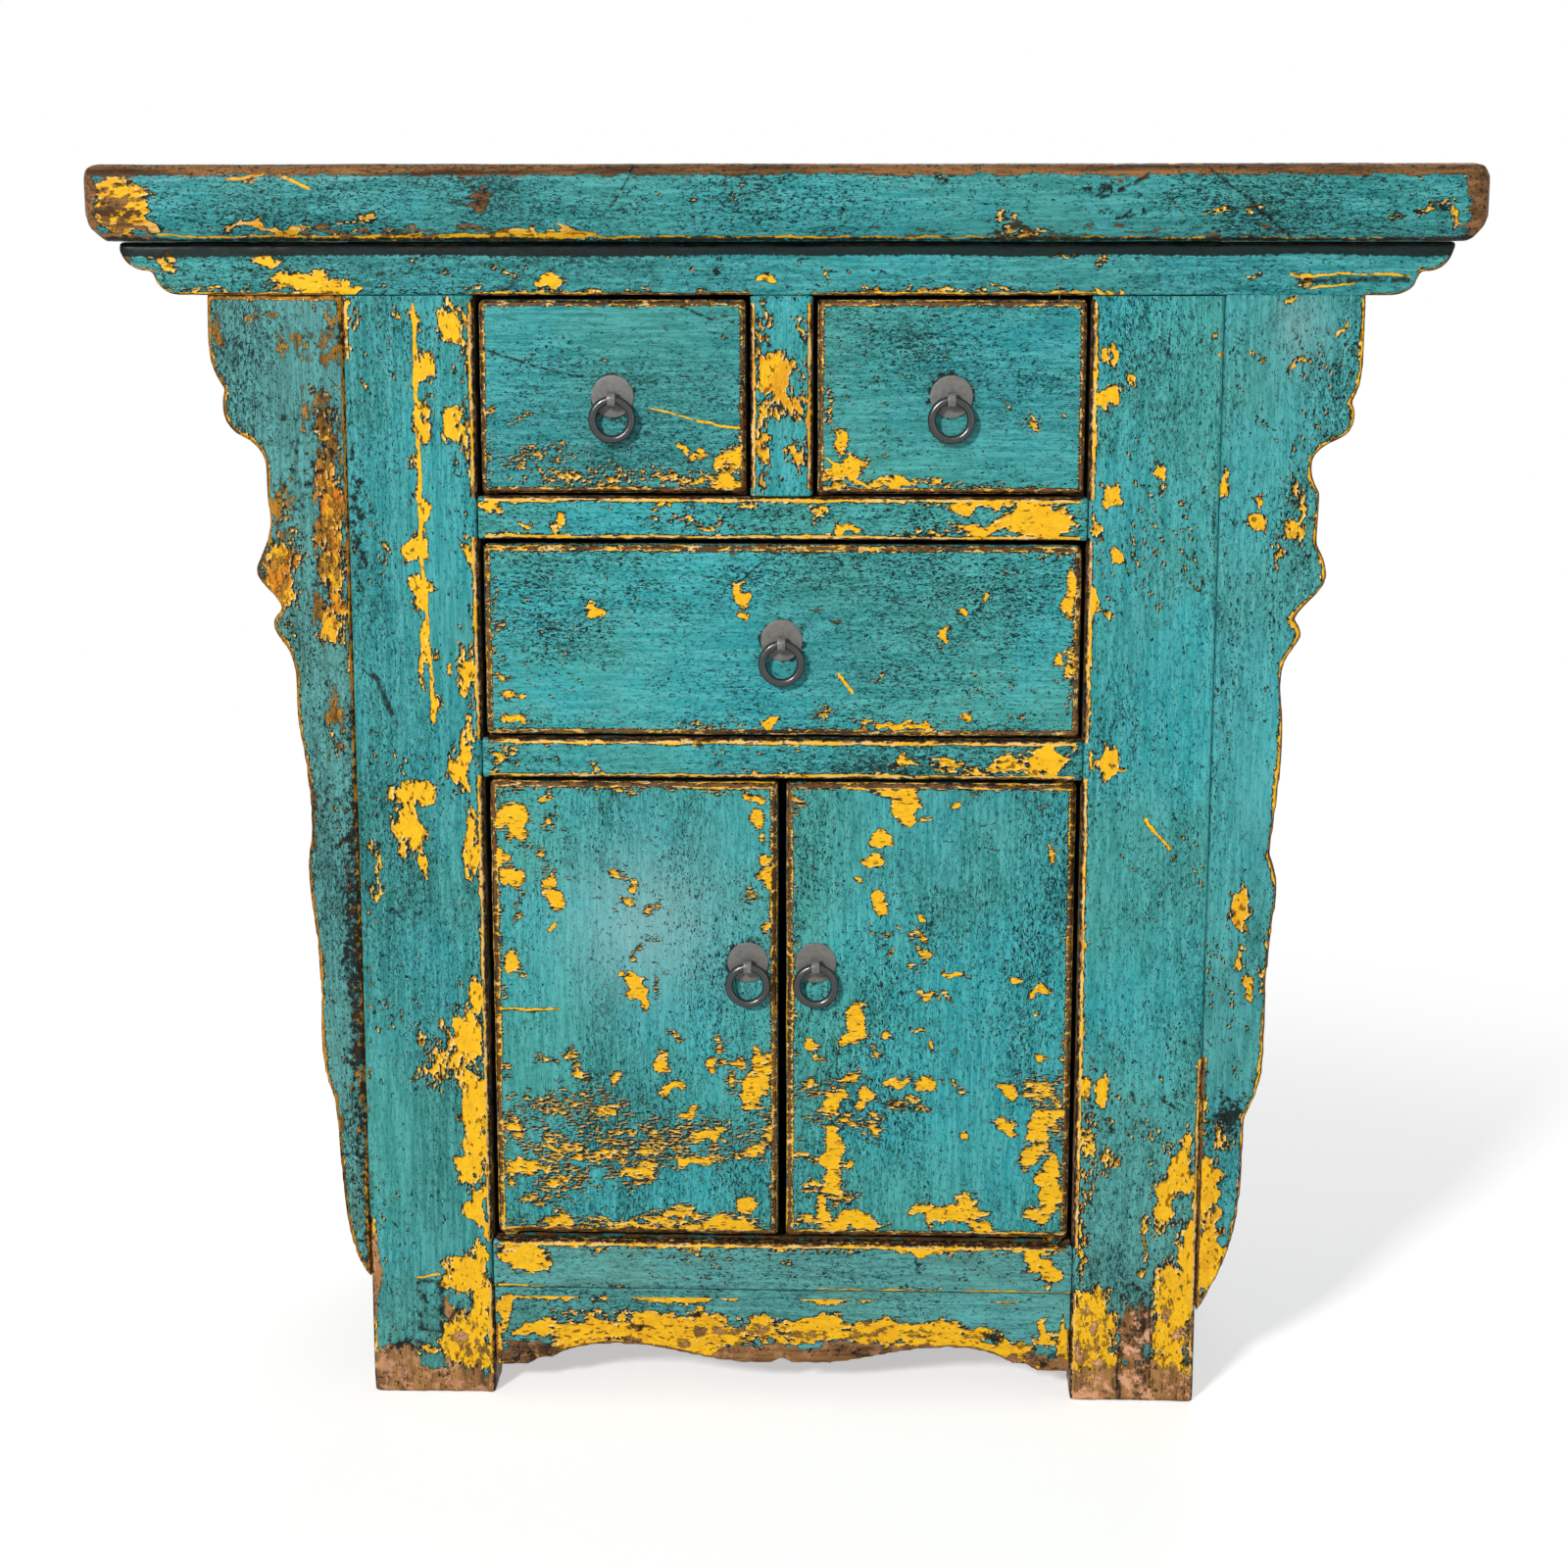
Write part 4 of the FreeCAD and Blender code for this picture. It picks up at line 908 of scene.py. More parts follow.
legLeft = {
    "node": "leg_front_left",
    "edgeBare": 1.2,
    "along": "z",
    "seed": 4,
    "voxel": 2.2,
    "shade": 0.24,
    "grey": 0.25,
    "greyTop": 160,
    "goldWarm": 0.2,
    "woodPale": 0.95,
    "ash": 0.6,
    "chips": [
        (-253, 867, 10, 16, 1.25), (-242, 850, 5, 32, 0.95), (-272, 834, 9, 15, 1.1),
        (-276, 792, 7, 22, 1.05), (-280, 750, 4, 18, 1.0), (-277, 722, 4, 28, 1.05),
        (-285, 694, 9, 11, 1.1), (-281, 660, 9, 17, 1.15), (-278, 620, 5, 22, 1.05),
        (-277, 590, 3.5, 16, 1.0), (-271, 566, 4, 9, 1.0), (-253, 790, 9, 17, 1.15),
        (-243, 784, 4, 28, 0.95), (-244, 700, 4, 30, 0.85), (-245, 592, 5, 34, 0.95),
        (-257, 601, 5, 5, 1.1), (-251, 526, 10, 22, 1.2), (-243, 550, 5, 10, 1.0),
        (-331, 874, 5, 14, 1.0), (-294, 872, 3, 5, 1.0), (-280, 868, 4, 9, 1.0), (-290, 502, 22, 13, 1.2),
        (-294, 472, 14, 26, 1.25), (-283, 443, 5, 12, 1.05), (-322, 430, 3, 40, 0.9),
        (-245, 462, 6, 36, 1.1), (-245, 340, 11, 18, 1.2), (-251, 302, 14, 28, 1.2),
        (-262, 286, 20, 18, 1.0), (-281, 270, 12, 12, 0.95), (-248, 252, 13, 28, 1.2),
        (-248, 212, 11, 34, 1.2), (-252, 192, 13, 14, 1.1), (-246, 162, 9, 22, 1.15),
        (-240, 142, 5, 10, 1.1), (-260, 102, 22, 18, 1.3), (-245, 118, 8, 12, 1.1),
        (-262, 46, 22, 26, 1.15), (-247, 66, 9, 36, 1.2), (-240, 80, 6, 20, 1.0), (-288, 300, 4, 4, 0.9),
        (-272, 310, 8, 6, 0.85), (-250, 32, 20, 16, 1.2), (-285, 34, 26, 5, 0.8),
    ],
    "bare": [
        (-285, 0, 90, 27, 1.5), (-314, 14, 26, 32, 1.35), (-333, 105, 7, 56, 1.25),
        (-272, 72, 4, 16, 1.1), (-331, 250, 3, 300, 0.7), (-258, 44, 26, 28, 0.9),
    ],
    "dirtAndShade": [
        (-329, 715, 6, 75, 0.62), (-300, 405, 24, 14, 0.4), (-305, 42, 26, 9, 0.55),
        (-300, 12, 60, 12, 0.36), (-250, 22, 24, 12, 0.36), (-285, 510, 30, 6, 0.4),
        (-286, 74, 14, 26, 0.42),
    ],
    "darkLines": [
        (-331, 606, -315, 590, 3.0), (-315, 590, -302, 554, 3.5), (-296, 95, -295, 54, 3.2),
        (-295, 54, -279, 52, 3.2), (-279, 52, -277, 94, 3.2), (-277, 94, -296, 97, 3.2),
        (-272, 58, -262, 80, 3.0),
    ],
    "goldLines": [(-280, 880, -279, 700, 2.4), (-279, 700, -272, 560, 2.2), (-296, 99, -280, 102, 1.6)],
    "calm": [
        (-340, 884, -230, 930), (-240, 704, -230, 732), (-240, 517, -230, 543), (-240, 94, -230, 129),
        (-342, 150, -327, 838),
    ],
}
legRight = {
    "node": "leg_front_right",
    "edgeBare": 1.2,
    "along": "z",
    "seed": 5,
    "voxel": 2.2,
    "flecks": -0.01,
    "grey": 0.6,
    "greyTop": 360,
    "goldWarm": 0.25,
    "woodPale": 1.0,
    "ash": 1.0,
    "chips": [
        (250, 842, 4, 10, 1.1), (264, 822, 5, 10, 1.0), (246, 811, 9, 9, 1.15), (286, 757, 8, 7, 1.1),
        (287, 741, 4, 4, 1.0), (251, 735, 10, 10, 1.2), (239, 711, 6, 12, 1.1), (256, 690, 4, 10, 1.05),
        (240, 655, 5, 14, 1.05), (250, 645, 4, 8, 0.85), (255, 528, 8, 17, 1.2), (265, 521, 8, 4, 1.1),
        (242, 531, 4, 4, 1.1), (328, 858, 3, 3, 1.0), (238, 372, 5, 20, 1.1), (240, 265, 6, 14, 1.1),
        (256, 262, 8, 16, 1.15), (246, 215, 9, 32, 0.92), (262, 207, 9, 13, 0.92),
        (241, 140, 6, 44, 0.92), (307, 168, 12, 26, 1.25), (325, 205, 6, 32, 1.15),
        (317, 188, 9, 22, 1.1), (312, 215, 7, 7, 0.9), (291, 146, 5, 16, 1.05), (291, 115, 5, 10, 1.0),
        (326, 125, 9, 34, 1.25), (318, 86, 18, 40, 1.3), (315, 50, 16, 16, 1.25), (245, 88, 9, 13, 1.15),
        (254, 66, 17, 32, 1.3), (262, 44, 10, 14, 1.2), (300, 35, 8, 6, 0.9), (240, 52, 6, 5, 1.1),
        (260, 30, 26, 14, 1.2), (314, 30, 22, 16, 1.2),
    ],
    "bare": [
        (285, 2, 90, 36, 1.4), (287, 58, 18, 34, 1.2), (330, 30, 8, 14, 1.0), (242, 38, 8, 10, 1.0),
        (250, 62, 30, 34, 0.74), (316, 70, 22, 44, 0.72),
    ],
    "dirtAndShade": [
        (285, 94, 20, 12, 0.6), (262, 228, 8, 8, 0.6), (286, 60, 15, 26, 0.42), (310, 34, 28, 8, 0.48),
        (252, 30, 18, 6, 0.42), (285, 8, 60, 10, 0.3),
    ],
    "darkLines": [
        (302, 258, 322, 244, 2.2), (278, 262, 287, 238, 1.8), (275, 90, 273, 8, 1.8),
        (298, 85, 300, 12, 1.6),
    ],
    "goldLines": [(284, 484, 304, 460, 2.2), (332, 843, 345, 848, 1.8)],
    "calm": [
        (230, 884, 340, 930), (230, 704, 240, 732), (230, 517, 240, 543), (230, 94, 240, 129),
        (325, 292, 345, 930),
    ],
}
wingLeft = {
    "node": "wing_left",
    "headTight": True,
    "gold": 2.2,
    "brown": 2.6,
    "edgeDirtAndShade": 0.8,
    "shade": 0.36,
    "grey": 0.5,
    "goldWarm": 1.0,
    "along": "z",
    "seed": 8,
    "flecks": 0.04,
    "woodPale": 0.6,
    "amber": 1.0,
    "chips": [
        (-350, 634, 9, 13, 1.15), (-354, 772, 4, 12, 1.0), (-349, 735, 8, 26, 0.85),
        (-351, 690, 8, 24, 0.85), (-385, 725, 9, 14, 0.7), (-342, 700, 6, 90, 0.65),
        (-385, 690, 16, 22, 0.75), (-352, 545, 5, 24, 0.6), (-350, 700, 12, 84, 1.02),
        (-350, 632, 13, 20, 1.1), (-390, 672, 17, 36, 1.05), (-352, 780, 8, 30, 0.95),
    ],
    "bare": [
        (-432, 866, 12, 22, 0.95), (-395, 872, 34, 9, 0.8), (-372, 850, 28, 14, 0.88),
        (-345, 856, 13, 36, 0.95), (-362, 800, 12, 16, 0.92), (-352, 770, 14, 60, 1.0),
        (-351, 706, 13, 92, 0.85), (-392, 674, 19, 40, 0.85), (-386, 728, 16, 32, 0.95),
        (-362, 650, 20, 24, 0.85), (-372, 470, 6, 60, 0.85), (-350, 560, 10, 40, 0.8),
        (-372, 300, 5, 60, 0.85), (-360, 200, 8, 60, 0.9), (-340, 330, 9, 210, 0.85),
    ],
    "dirtAndShade": [
        (-339, 340, 11, 220, 0.75), (-337, 520, 12, 80, 0.5), (-350, 180, 14, 50, 0.42),
        (-352, 790, 16, 34, 0.5), (-370, 750, 30, 70, 0.4), (-340, 860, 8, 30, 0.45),
        (-390, 860, 40, 14, 0.36), (-352, 690, 24, 70, 0.36), (-365, 480, 14, 60, 0.4),
    ],
}
wingRight = {
    "node": "wing_right",
    "headTight": True,
    "gold": 2.6,
    "brown": 1.2,
    "edgeDirtAndShade": 0.7,
    "grey": 0.16,
    "shade": 0.06,
    "goldWarm": 0.4,
    "along": "z",
    "seed": 9,
    "chips": [
        (362, 410, 9, 26, 1.2), (361, 372, 5, 12, 1.05), (371, 347, 6, 9, 1.05), (384, 360, 4, 32, 0.85),
        (340, 182, 11, 32, 1.25), (346, 132, 13, 38, 1.2), (357, 226, 7, 16, 1.0),
        (337, 250, 4, 34, 0.95), (346, 100, 10, 16, 1.05), (364, 715, 10, 9, 1.15),
        (368, 731, 5, 7, 1.05), (380, 692, 7, 11, 0.98), (388, 712, 6, 9, 1.05), (396, 715, 5, 24, 1.0),
        (338, 744, 5, 13, 1.2), (385, 831, 5, 3, 1.1), (393, 838, 8, 4, 0.85), (362, 842, 6, 3, 1.0),
        (423, 863, 3, 6, 1.1), (386, 884, 5, 3, 1.1), (390, 740, 5, 12, 0.85),
    ],
    "bare": [(345, 92, 14, 8, 0.9)],
    "dirtAndShade": [
        (357, 242, 12, 18, 0.85), (345, 226, 8, 14, 0.5), (358, 633, 8, 6, 0.55),
        (352, 718, 20, 12, 0.35),
    ],
    "paintedSheen": [(392, 862, 16, 22, 0.5)],
    "calm": [(330, 292, 341, 930), (330, 880, 436, 930)],
}
railMiddle = {
    "node": "rail_middle",
    "sunk": 0.4,
    "edgeBare": 1.2,
    "along": "x",
    "seed": 10,
    "flecks": 0.01,
    "chips": [
        (198, 717, 36, 13, 1.35), (155, 712, 30, 6, 1.1), (142, 728, 16, 4.5, 1.1),
        (165, 732, 34, 3.5, 1.0), (116, 732, 16, 3, 0.95), (-226, 729, 12, 5, 1.05),
        (-195, 714, 4, 4, 1.0), (-172, 717, 6, 3, 1.0), (-215, 704, 11, 3, 1.0), (-170, 703, 9, 3, 1.0),
        (-60, 716, 18, 3, 0.85), (50, 709, 12, 4, 1.1), (112, 706, 28, 4, 0.95), (27, 723, 5, 7, 0.98),
        (-90, 731, 22, 3, 0.8), (-25, 728, 6, 8, 0.85),
    ],
    "dirtAndShade": [(0, 718, 40, 16, 0.3), (60, 712, 14, 6, 0.4)],
    "calm": [(-240, 690, -231, 745), (231, 690, 240, 745)],
}
railLower = {
    "node": "rail_lower",
    "edgeBare": 1.2,
    "along": "x",
    "seed": 11,
    "chips": [
        (-218, 532, 12, 10, 0.85), (206, 530, 23, 12, 1.25), (175, 527, 20, 6, 1.05),
        (130, 530, 20, 3.5, 1.05), (95, 528, 12, 6, 1.05), (155, 521, 27, 3.5, 0.95),
        (125, 524, 22, 4, 0.95), (-150, 524, 3, 7, 0.9),
    ],
    "bare": [(-216, 530, 12, 8, 0.6)],
    "dirtAndShade": [(100, 527, 46, 12, 0.35), (-190, 524, 30, 9, 0.25), (-65, 541, 8, 4, 0.5)],
    "calm": [(-240, 500, -231, 560), (231, 500, 240, 560)],
}
sillRail = {
    "node": "sill_rail",
    "edgeBare": 1.2,
    "grey": 0.5,
    "shade": 0.06,
    "goldLines": [(30, 92.5, 130, 92, 1.0), (130, 92, 236, 92.5, 1.3), (-230, 93, -190, 93, 1.2)],
    "along": "x",
    "seed": 12,
    "chips": [
        (-210, 119, 23, 13, 1.3), (-206, 107, 15, 6, 1.2), (-100, 129, 110, 3, 0.8),
        (20, 128, 130, 2.5, 0.75), (110, 126, 24, 3.5, 1.05), (205, 118, 15, 9, 1.2),
        (216, 107, 8, 9, 1.15), (202, 128, 26, 3.5, 1.1), (-130, 93, 9, 2, 0.95), (-222, 92, 12, 2, 0.95),
        (5, 113, 6, 3, 0.75), (130, 92, 75, 1.5, 0.8),
    ],
    "bare": [(-170, 131, 60, 2.5, 0.7)],
    "dirtAndShade": [(-120, 93, 90, 2, 0.5), (110, 112, 5, 9, 0.6), (-130, 110, 16, 4, 0.3)],
    "calm": [(-240, 85, -231, 140), (231, 85, 240, 140), (-240, 80, 240, 97)],
}
apron = {
    "node": "apron",
    "gold": 8.0,
    "brown": 2.6,
    "edgeDirtAndShade": 0.6,
    "grey": 0.46,
    "goldWarm": 0.35,
    "along": "x",
    "seed": 13,
    "woodPale": 0.5,
    "ash": 0.3,
    "chips": [
        (-202, 53, 20, 7, 1.2), (-158, 54, 38, 14, 1.35), (-105, 55, 44, 15, 1.35),
        (-58, 54, 36, 14, 1.3), (-15, 56, 22, 12, 1.2), (28, 57, 36, 12, 1.3), (78, 56, 36, 12, 1.3),
        (122, 58, 36, 9, 1.25), (160, 57, 18, 7, 1.15), (186, 43, 20, 11, 1.25), (211, 60, 4, 13, 1.2),
        (214, 50, 16, 4, 1.15), (-227, 70, 7, 16, 1.1), (228, 53, 9, 7, 0.95), (-150, 80, 6, 4, 0.9),
        (-70, 70, 12, 4, 1.1), (-205, 36, 8, 3.5, 1.15), (-115, 78, 6, 2, 0.8), (-80, 81, 5, 2, 0.8),
    ],
    "bare": [
        (70, 34, 120, 13, 1.3), (-20, 34, 50, 12, 1.25), (-205, 34, 38, 14, 1.1), (208, 30, 40, 12, 1.1),
        (-80, 44, 8, 6, 1.1), (-66, 52, 8, 7, 1.1), (-124, 46, 16, 4, 0.9), (20, 52, 40, 4, 0.75),
        (0, 54, 230, 9, 0.78),
    ],
    "dirtAndShade": [
        (-150, 80, 4, 3, 0.9), (-68, 69, 4, 3, 0.9), (-116, 59, 4, 3, 0.7), (172, 53, 8, 5, 0.8),
        (-208, 36, 34, 14, 0.44), (210, 34, 30, 13, 0.5), (60, 38, 120, 6, 0.4),
    ],
    "calm": [(-240, 60, -231, 95), (231, 60, 240, 95), (-240, 84, 240, 99)],
}
divider = {
    "node": "drawer_divider",
    "edgeBare": 1.2,
    "goldWarm": 0.55,
    "along": "z",
    "seed": 14,
    "flecks": 0.01,
    "chips": [
        (-12, 871, 5, 7, 0.95), (-6, 826, 19, 17, 1.2), (0, 806, 20, 11, 1.0), (-17, 780, 7, 20, 0.9),
        (-19, 850, 5, 34, 0.85), (19, 840, 5, 40, 0.7), (12, 766, 8, 12, 0.95), (18, 770, 6, 14, 0.9),
        (-10, 745, 10, 7, 0.8),
    ],
    "bare": [(-12, 752, 10, 4, 0.7)],
    "dirtAndShade": [(-10, 752, 10, 4, 0.5), (0, 746, 22, 7, 0.35)],
    "calm": [(-30, 883, 30, 895), (-30, 725, 30, 739)],
}
frontWear = {"spread": 4.0, "brown": 0.2, "edgeBare": 1.2, "woodPale": 0.1}
drawerWear = {**frontWear, "voxel": 1.8, "gold": 0.75, "edgeDirtAndShade": 0.8, "chipScale": 1.7, "along": "x"}
drawerLeft = {
    "node": "drawer_left_front",
    **drawerWear,
    "shade": 0.3,
    "seed": 15,
    "flecks": 0.015,
    "chips": [
        (-130, 749, 100, 10, 0.66), (-190, 765, 38, 10, 0.64), (-70, 747, 34, 5, 0.98),
        (-40, 763, 13, 15, 1.1), (-42, 745, 15, 9, 1.1), (-65, 766, 11, 4, 1.1), (-78, 770, 5, 5, 1.05),
        (-224, 803, 4, 4, 0.9), (-200, 792, 14, 4, 0.6), (-228, 760, 5, 30, 0.75),
    ],
    "bare": [
        (-130, 883, 120, 3, 0.85), (-31, 800, 4, 60, 0.85), (-46, 871, 14, 6, 0.6), (-42, 744, 8, 5, 0.6),
    ],
    "dirtAndShade": [(-48, 868, 14, 6, 0.35)],
    "darkLines": [(-228, 846, -185, 832, 1.6), (-185, 832, -152, 826, 1.2), (-77, 879, -52, 868, 1.6)],
    "goldLines": [(-100, 802, -66, 793, 1.2), (-66, 793, -32, 787, 1.7)],
}
drawerRight = {
    "node": "drawer_right_front",
    **drawerWear,
    "shade": 0.18,
    "seed": 16,
    "flecks": 0.02,
    "chips": [
        (45, 776, 7, 14, 1.2), (56, 757, 9, 13, 1.2), (41, 749, 13, 10, 1.15), (86, 746, 28, 4.5, 1.05),
        (116, 745, 10, 5, 0.95), (160, 742, 70, 3, 0.7), (191, 790, 6, 5, 0.85), (214, 797, 5, 5, 0.85),
        (171, 806, 4, 4, 0.7), (36, 800, 4, 30, 0.6),
    ],
    "bare": [(40, 746, 13, 8, 0.75), (130, 883, 110, 3, 0.7)],
    "dirtAndShade": [(172, 808, 8, 8, 0.35)],
    "goldLines": [(34, 764, 68, 740, 1.4)],
}
drawerWide = {
    "node": "drawer_wide_front",
    **drawerWear,
    "seed": 17,
    "flecks": 0.025,
    "chips": [
        (-147, 645, 6, 6.5, 1.4), (-32, 658, 5.5, 15, 1.25), (-31, 640, 4, 4, 1.1), (142, 646, 8, 5, 1.3),
        (124, 630, 4, 4, 1.2), (153, 656, 3.5, 3, 1.2), (-212, 579, 9, 6, 1.15), (-212, 560, 10, 4, 1.1),
        (-219, 594, 5, 4, 1.0), (90, 556, 32, 3.5, 1.1), (-8, 557, 11, 4, 1.1), (32, 567, 9, 9, 0.8),
        (144, 563, 6, 5, 1.15), (180, 563, 5, 4, 1.0), (223, 660, 6, 20, 1.1), (225, 605, 4, 32, 0.95),
        (217, 608, 4, 5, 1.1), (216, 690, 16, 4, 0.9), (175, 678, 9, 3, 0.85), (76, 597, 6, 3, 0.9),
        (-222, 640, 3, 40, 0.7), (-60, 556, 40, 3, 0.7),
    ],
    "bare": [
        (25, 646, 14, 3, 0.9), (42, 638, 7, 5, 0.8), (-10, 694, 80, 3.5, 0.9), (140, 656, 5, 12, 0.55),
        (228, 680, 4, 20, 0.8),
    ],
    "dirtAndShade": [(30, 640, 20, 5, 0.3)],
    "goldLines": [(45, 597, 55, 582, 2.4)],
    "darkLines": [(-35, 668, -2, 692, 1.2), (-50, 650, -44, 664, 1.4)],
}
doorWear = {
    **frontWear,
    "gold": 1.05,
    "edgeDirtAndShade": 0.78,
    "along": "z",
    "chipScale": 2.0,
    "chipAlong": "x",
    "chipStretch": 0.3,
}
doorLeft = {
    "node": "door_left_panel",
    **doorWear,
    "seed": 18,
    "chips": [
        (-212, 476, 13, 15, 1.3), (-222, 482, 9, 13, 1.1), (-214, 432, 9, 10, 1.25),
        (-220, 446, 6, 7, 1.05), (-211, 408, 4, 12, 0.85), (-181, 414, 6, 10, 1.25),
        (-184, 431, 5, 7, 1.15), (-182, 393, 6, 5, 1.15), (-188, 447, 5, 8, 0.95),
        (-213, 362, 9, 12, 1.3), (-189, 498, 6, 4, 1.15), (-185, 478, 4, 6, 0.95), (-19, 482, 8, 11, 1.3),
        (-22, 500, 10, 4, 1.15), (-14, 463, 5, 4, 1.05), (-14, 433, 6, 11, 1.15), (-10, 446, 8, 6, 1.15),
        (-26, 416, 7, 7, 0.98), (-12, 394, 5, 6, 0.98), (-115, 341, 8, 17, 1.3), (-125, 353, 4, 4, 1.1),
        (-118, 425, 5, 10, 1.05), (-128, 435, 8, 4, 0.98), (-126, 410, 6, 6, 0.9),
        (-102, 405, 7, 4, 0.98), (-107, 383, 9, 4, 0.92), (-115, 371, 4, 5, 0.9), (-99, 345, 4, 13, 0.8),
        (-22, 263, 11, 19, 1.15), (-27, 250, 7, 9, 1.15), (-15, 276, 9, 17, 1.05), (-20, 289, 6, 6, 1.05),
        (-12, 222, 7, 22, 0.95), (-20, 208, 12, 7, 1.05), (-97, 280, 8, 8, 1.2), (-86, 259, 13, 5, 1.2),
        (-170, 283, 10, 7, 1.0), (-160, 268, 10, 6, 0.98), (-190, 282, 10, 4, 0.9),
        (-55, 282, 7, 6, 1.05), (-40, 283, 9, 5, 1.0), (-40, 265, 5, 8, 1.0), (-50, 298, 8, 7, 0.85),
        (-85, 303, 10, 5, 0.88), (-135, 268, 6, 5, 0.95), (-120, 214, 115, 26, 0.68),
        (-170, 246, 52, 12, 0.7), (-110, 222, 64, 7, 0.84), (-125, 205, 60, 8, 0.84),
        (-75, 240, 10, 6, 1.05), (-140, 240, 12, 5, 1.0), (-60, 220, 15, 5, 1.1), (-70, 200, 24, 6, 1.08),
        (-30, 206, 20, 9, 0.92), (-210, 190, 15, 11, 1.05), (-180, 180, 22, 15, 0.92),
        (-120, 188, 22, 11, 1.0), (-175, 206, 32, 14, 0.82), (-215, 226, 13, 11, 0.9),
        (-115, 142, 112, 4.5, 1.0), (-85, 150, 32, 8, 0.98), (-45, 145, 32, 8, 1.15),
        (-30, 163, 10, 10, 1.15), (-180, 145, 22, 6, 1.0), (-200, 166, 16, 7, 0.7),
        (-120, 507, 105, 4, 0.85), (-226, 430, 3, 90, 0.75), (-226, 250, 3, 110, 0.7),
    ],
    "bare": [(-225, 509, 20, 3, 0.9), (-30, 508, 14, 3, 0.7)],
    "dirtAndShade": [(-180, 262, 50, 12, 0.18), (-150, 225, 80, 12, 0.15)],
    "paintedSheen": [(-108, 395, 52, 48, 0.75)],
    "goldLines": [(-228, 323.5, -179, 323.5, 1.8)],
    "darkLines": [(-228, 322, -182, 322, 0.9)],
}
doorRight = {
    "node": "door_right_panel",
    **doorWear,
    "seed": 19,
    "flecks": 0.01,
    "chips": [
        (98, 491, 12, 13, 1.35), (95, 504, 20, 4.5, 1.2), (115, 482, 5, 4, 1.1), (133, 491, 5, 4, 1.3),
        (80, 463, 12, 6, 1.3), (70, 449, 8, 6, 1.25), (62, 429, 6, 4, 1.2), (78, 412, 7, 8, 1.3),
        (79, 421, 5, 5, 1.1), (80, 391, 8, 6, 0.92), (88, 390, 7, 3, 1.0), (84, 377, 6, 3, 0.92),
        (110, 399, 6, 4, 1.2), (111, 373, 7, 5, 1.12), (110, 385, 7, 4, 1.0), (105, 361, 7, 4, 0.92),
        (115, 337, 9, 6, 1.12), (133, 336, 6, 4, 1.0), (138, 356, 9, 3, 1.05), (185, 353, 6, 4, 1.1),
        (206, 341, 9, 4, 1.2), (203, 325, 4, 3, 1.1), (211, 454, 6, 4, 1.1), (58, 315, 8, 19, 1.35),
        (55, 303, 13, 5, 1.2), (58, 331, 8, 5, 1.15), (110, 311, 7, 3, 1.0), (119, 297, 4, 7, 1.05),
        (24, 295, 5, 6, 1.05), (25, 284, 6, 5, 1.05), (86, 304, 5, 5, 0.95), (75, 294, 6, 4, 0.9),
        (207, 289, 7, 6, 1.15), (55, 268, 15, 4.5, 1.0), (24, 260, 11, 7, 1.0), (41, 250, 7, 17, 1.15),
        (38, 235, 15, 7, 1.0), (66, 252, 13, 7, 1.05), (72, 230, 11, 9, 1.0), (50, 236, 15, 6, 0.98),
        (42, 206, 9, 25, 1.2), (20, 205, 18, 5, 0.98), (38, 180, 9, 15, 1.08), (48, 170, 12, 7, 0.98),
        (56, 198, 5, 4, 1.1), (22, 175, 7, 9, 0.9), (35, 158, 7, 15, 1.08), (95, 267, 13, 5, 1.12),
        (112, 266, 9, 7, 1.12), (100, 247, 26, 7, 0.85), (127, 269, 5, 3, 1.0), (147, 226, 5, 5, 1.1),
        (141, 261, 5, 5, 0.92), (180, 228, 9, 8, 1.2), (182, 262, 9, 9, 1.05), (210, 260, 15, 13, 0.98),
        (207, 226, 13, 25, 1.15), (198, 203, 9, 9, 1.15), (215, 182, 10, 32, 1.25),
        (210, 156, 13, 11, 1.2), (221, 240, 9, 18, 1.0), (55, 147, 32, 9, 1.25), (140, 155, 28, 9, 1.2),
        (150, 166, 9, 9, 1.15), (160, 146, 15, 6, 1.15), (115, 157, 12, 7, 1.05), (20, 150, 14, 4, 1.0),
        (100, 507, 110, 3.5, 0.75), (10, 500, 5, 14, 0.85), (9, 330, 3, 150, 0.65),
        (227, 300, 3, 150, 0.65),
    ],
    "bare": [(120, 510, 110, 2.5, 0.7), (182, 318, 3, 6, 0.6)],
    "dirtAndShade": [(100, 245, 28, 3, 0.55), (118, 394, 5, 4, 0.5), (62, 306, 4, 6, 0.2)],
}

# the sides and the rear legs wear evenly
sideWear = {
    "turn": 0.0,
    "edgeDirtAndShade": 0.0,
    "voxel": 3.5,
    "patches": 0.36,
    "rubbed": 0.36,
    "flecks": 0.03,
    "shade": 0.15,
    "grey": 0.15,
    "goldWarm": 0.5,
}
footWear = {"bare": [(0, 0, 900, 24, 1.4), (0, 8, 900, 64, 0.98)], "ash": 0.7, "woodPale": 0.6}
legRearLeft = {"node": "leg_rear_left", "along": "z", "seed": 6, **sideWear, **footWear}
legRearRight = {"node": "leg_rear_right", "along": "z", "seed": 7, **sideWear, **footWear}
sidePanelLeft = {"node": "side_panel_left", "along": "z", "seed": 20, **sideWear}
sidePanelRight = {"node": "side_panel_right", "along": "z", "seed": 21, **sideWear}
sideRailsLeft = {"node": "side_rails_left", "along": "y", "seed": 22, **sideWear}
sideRailsRight = {"node": "side_rails_right", "along": "y", "seed": 23, **sideWear}

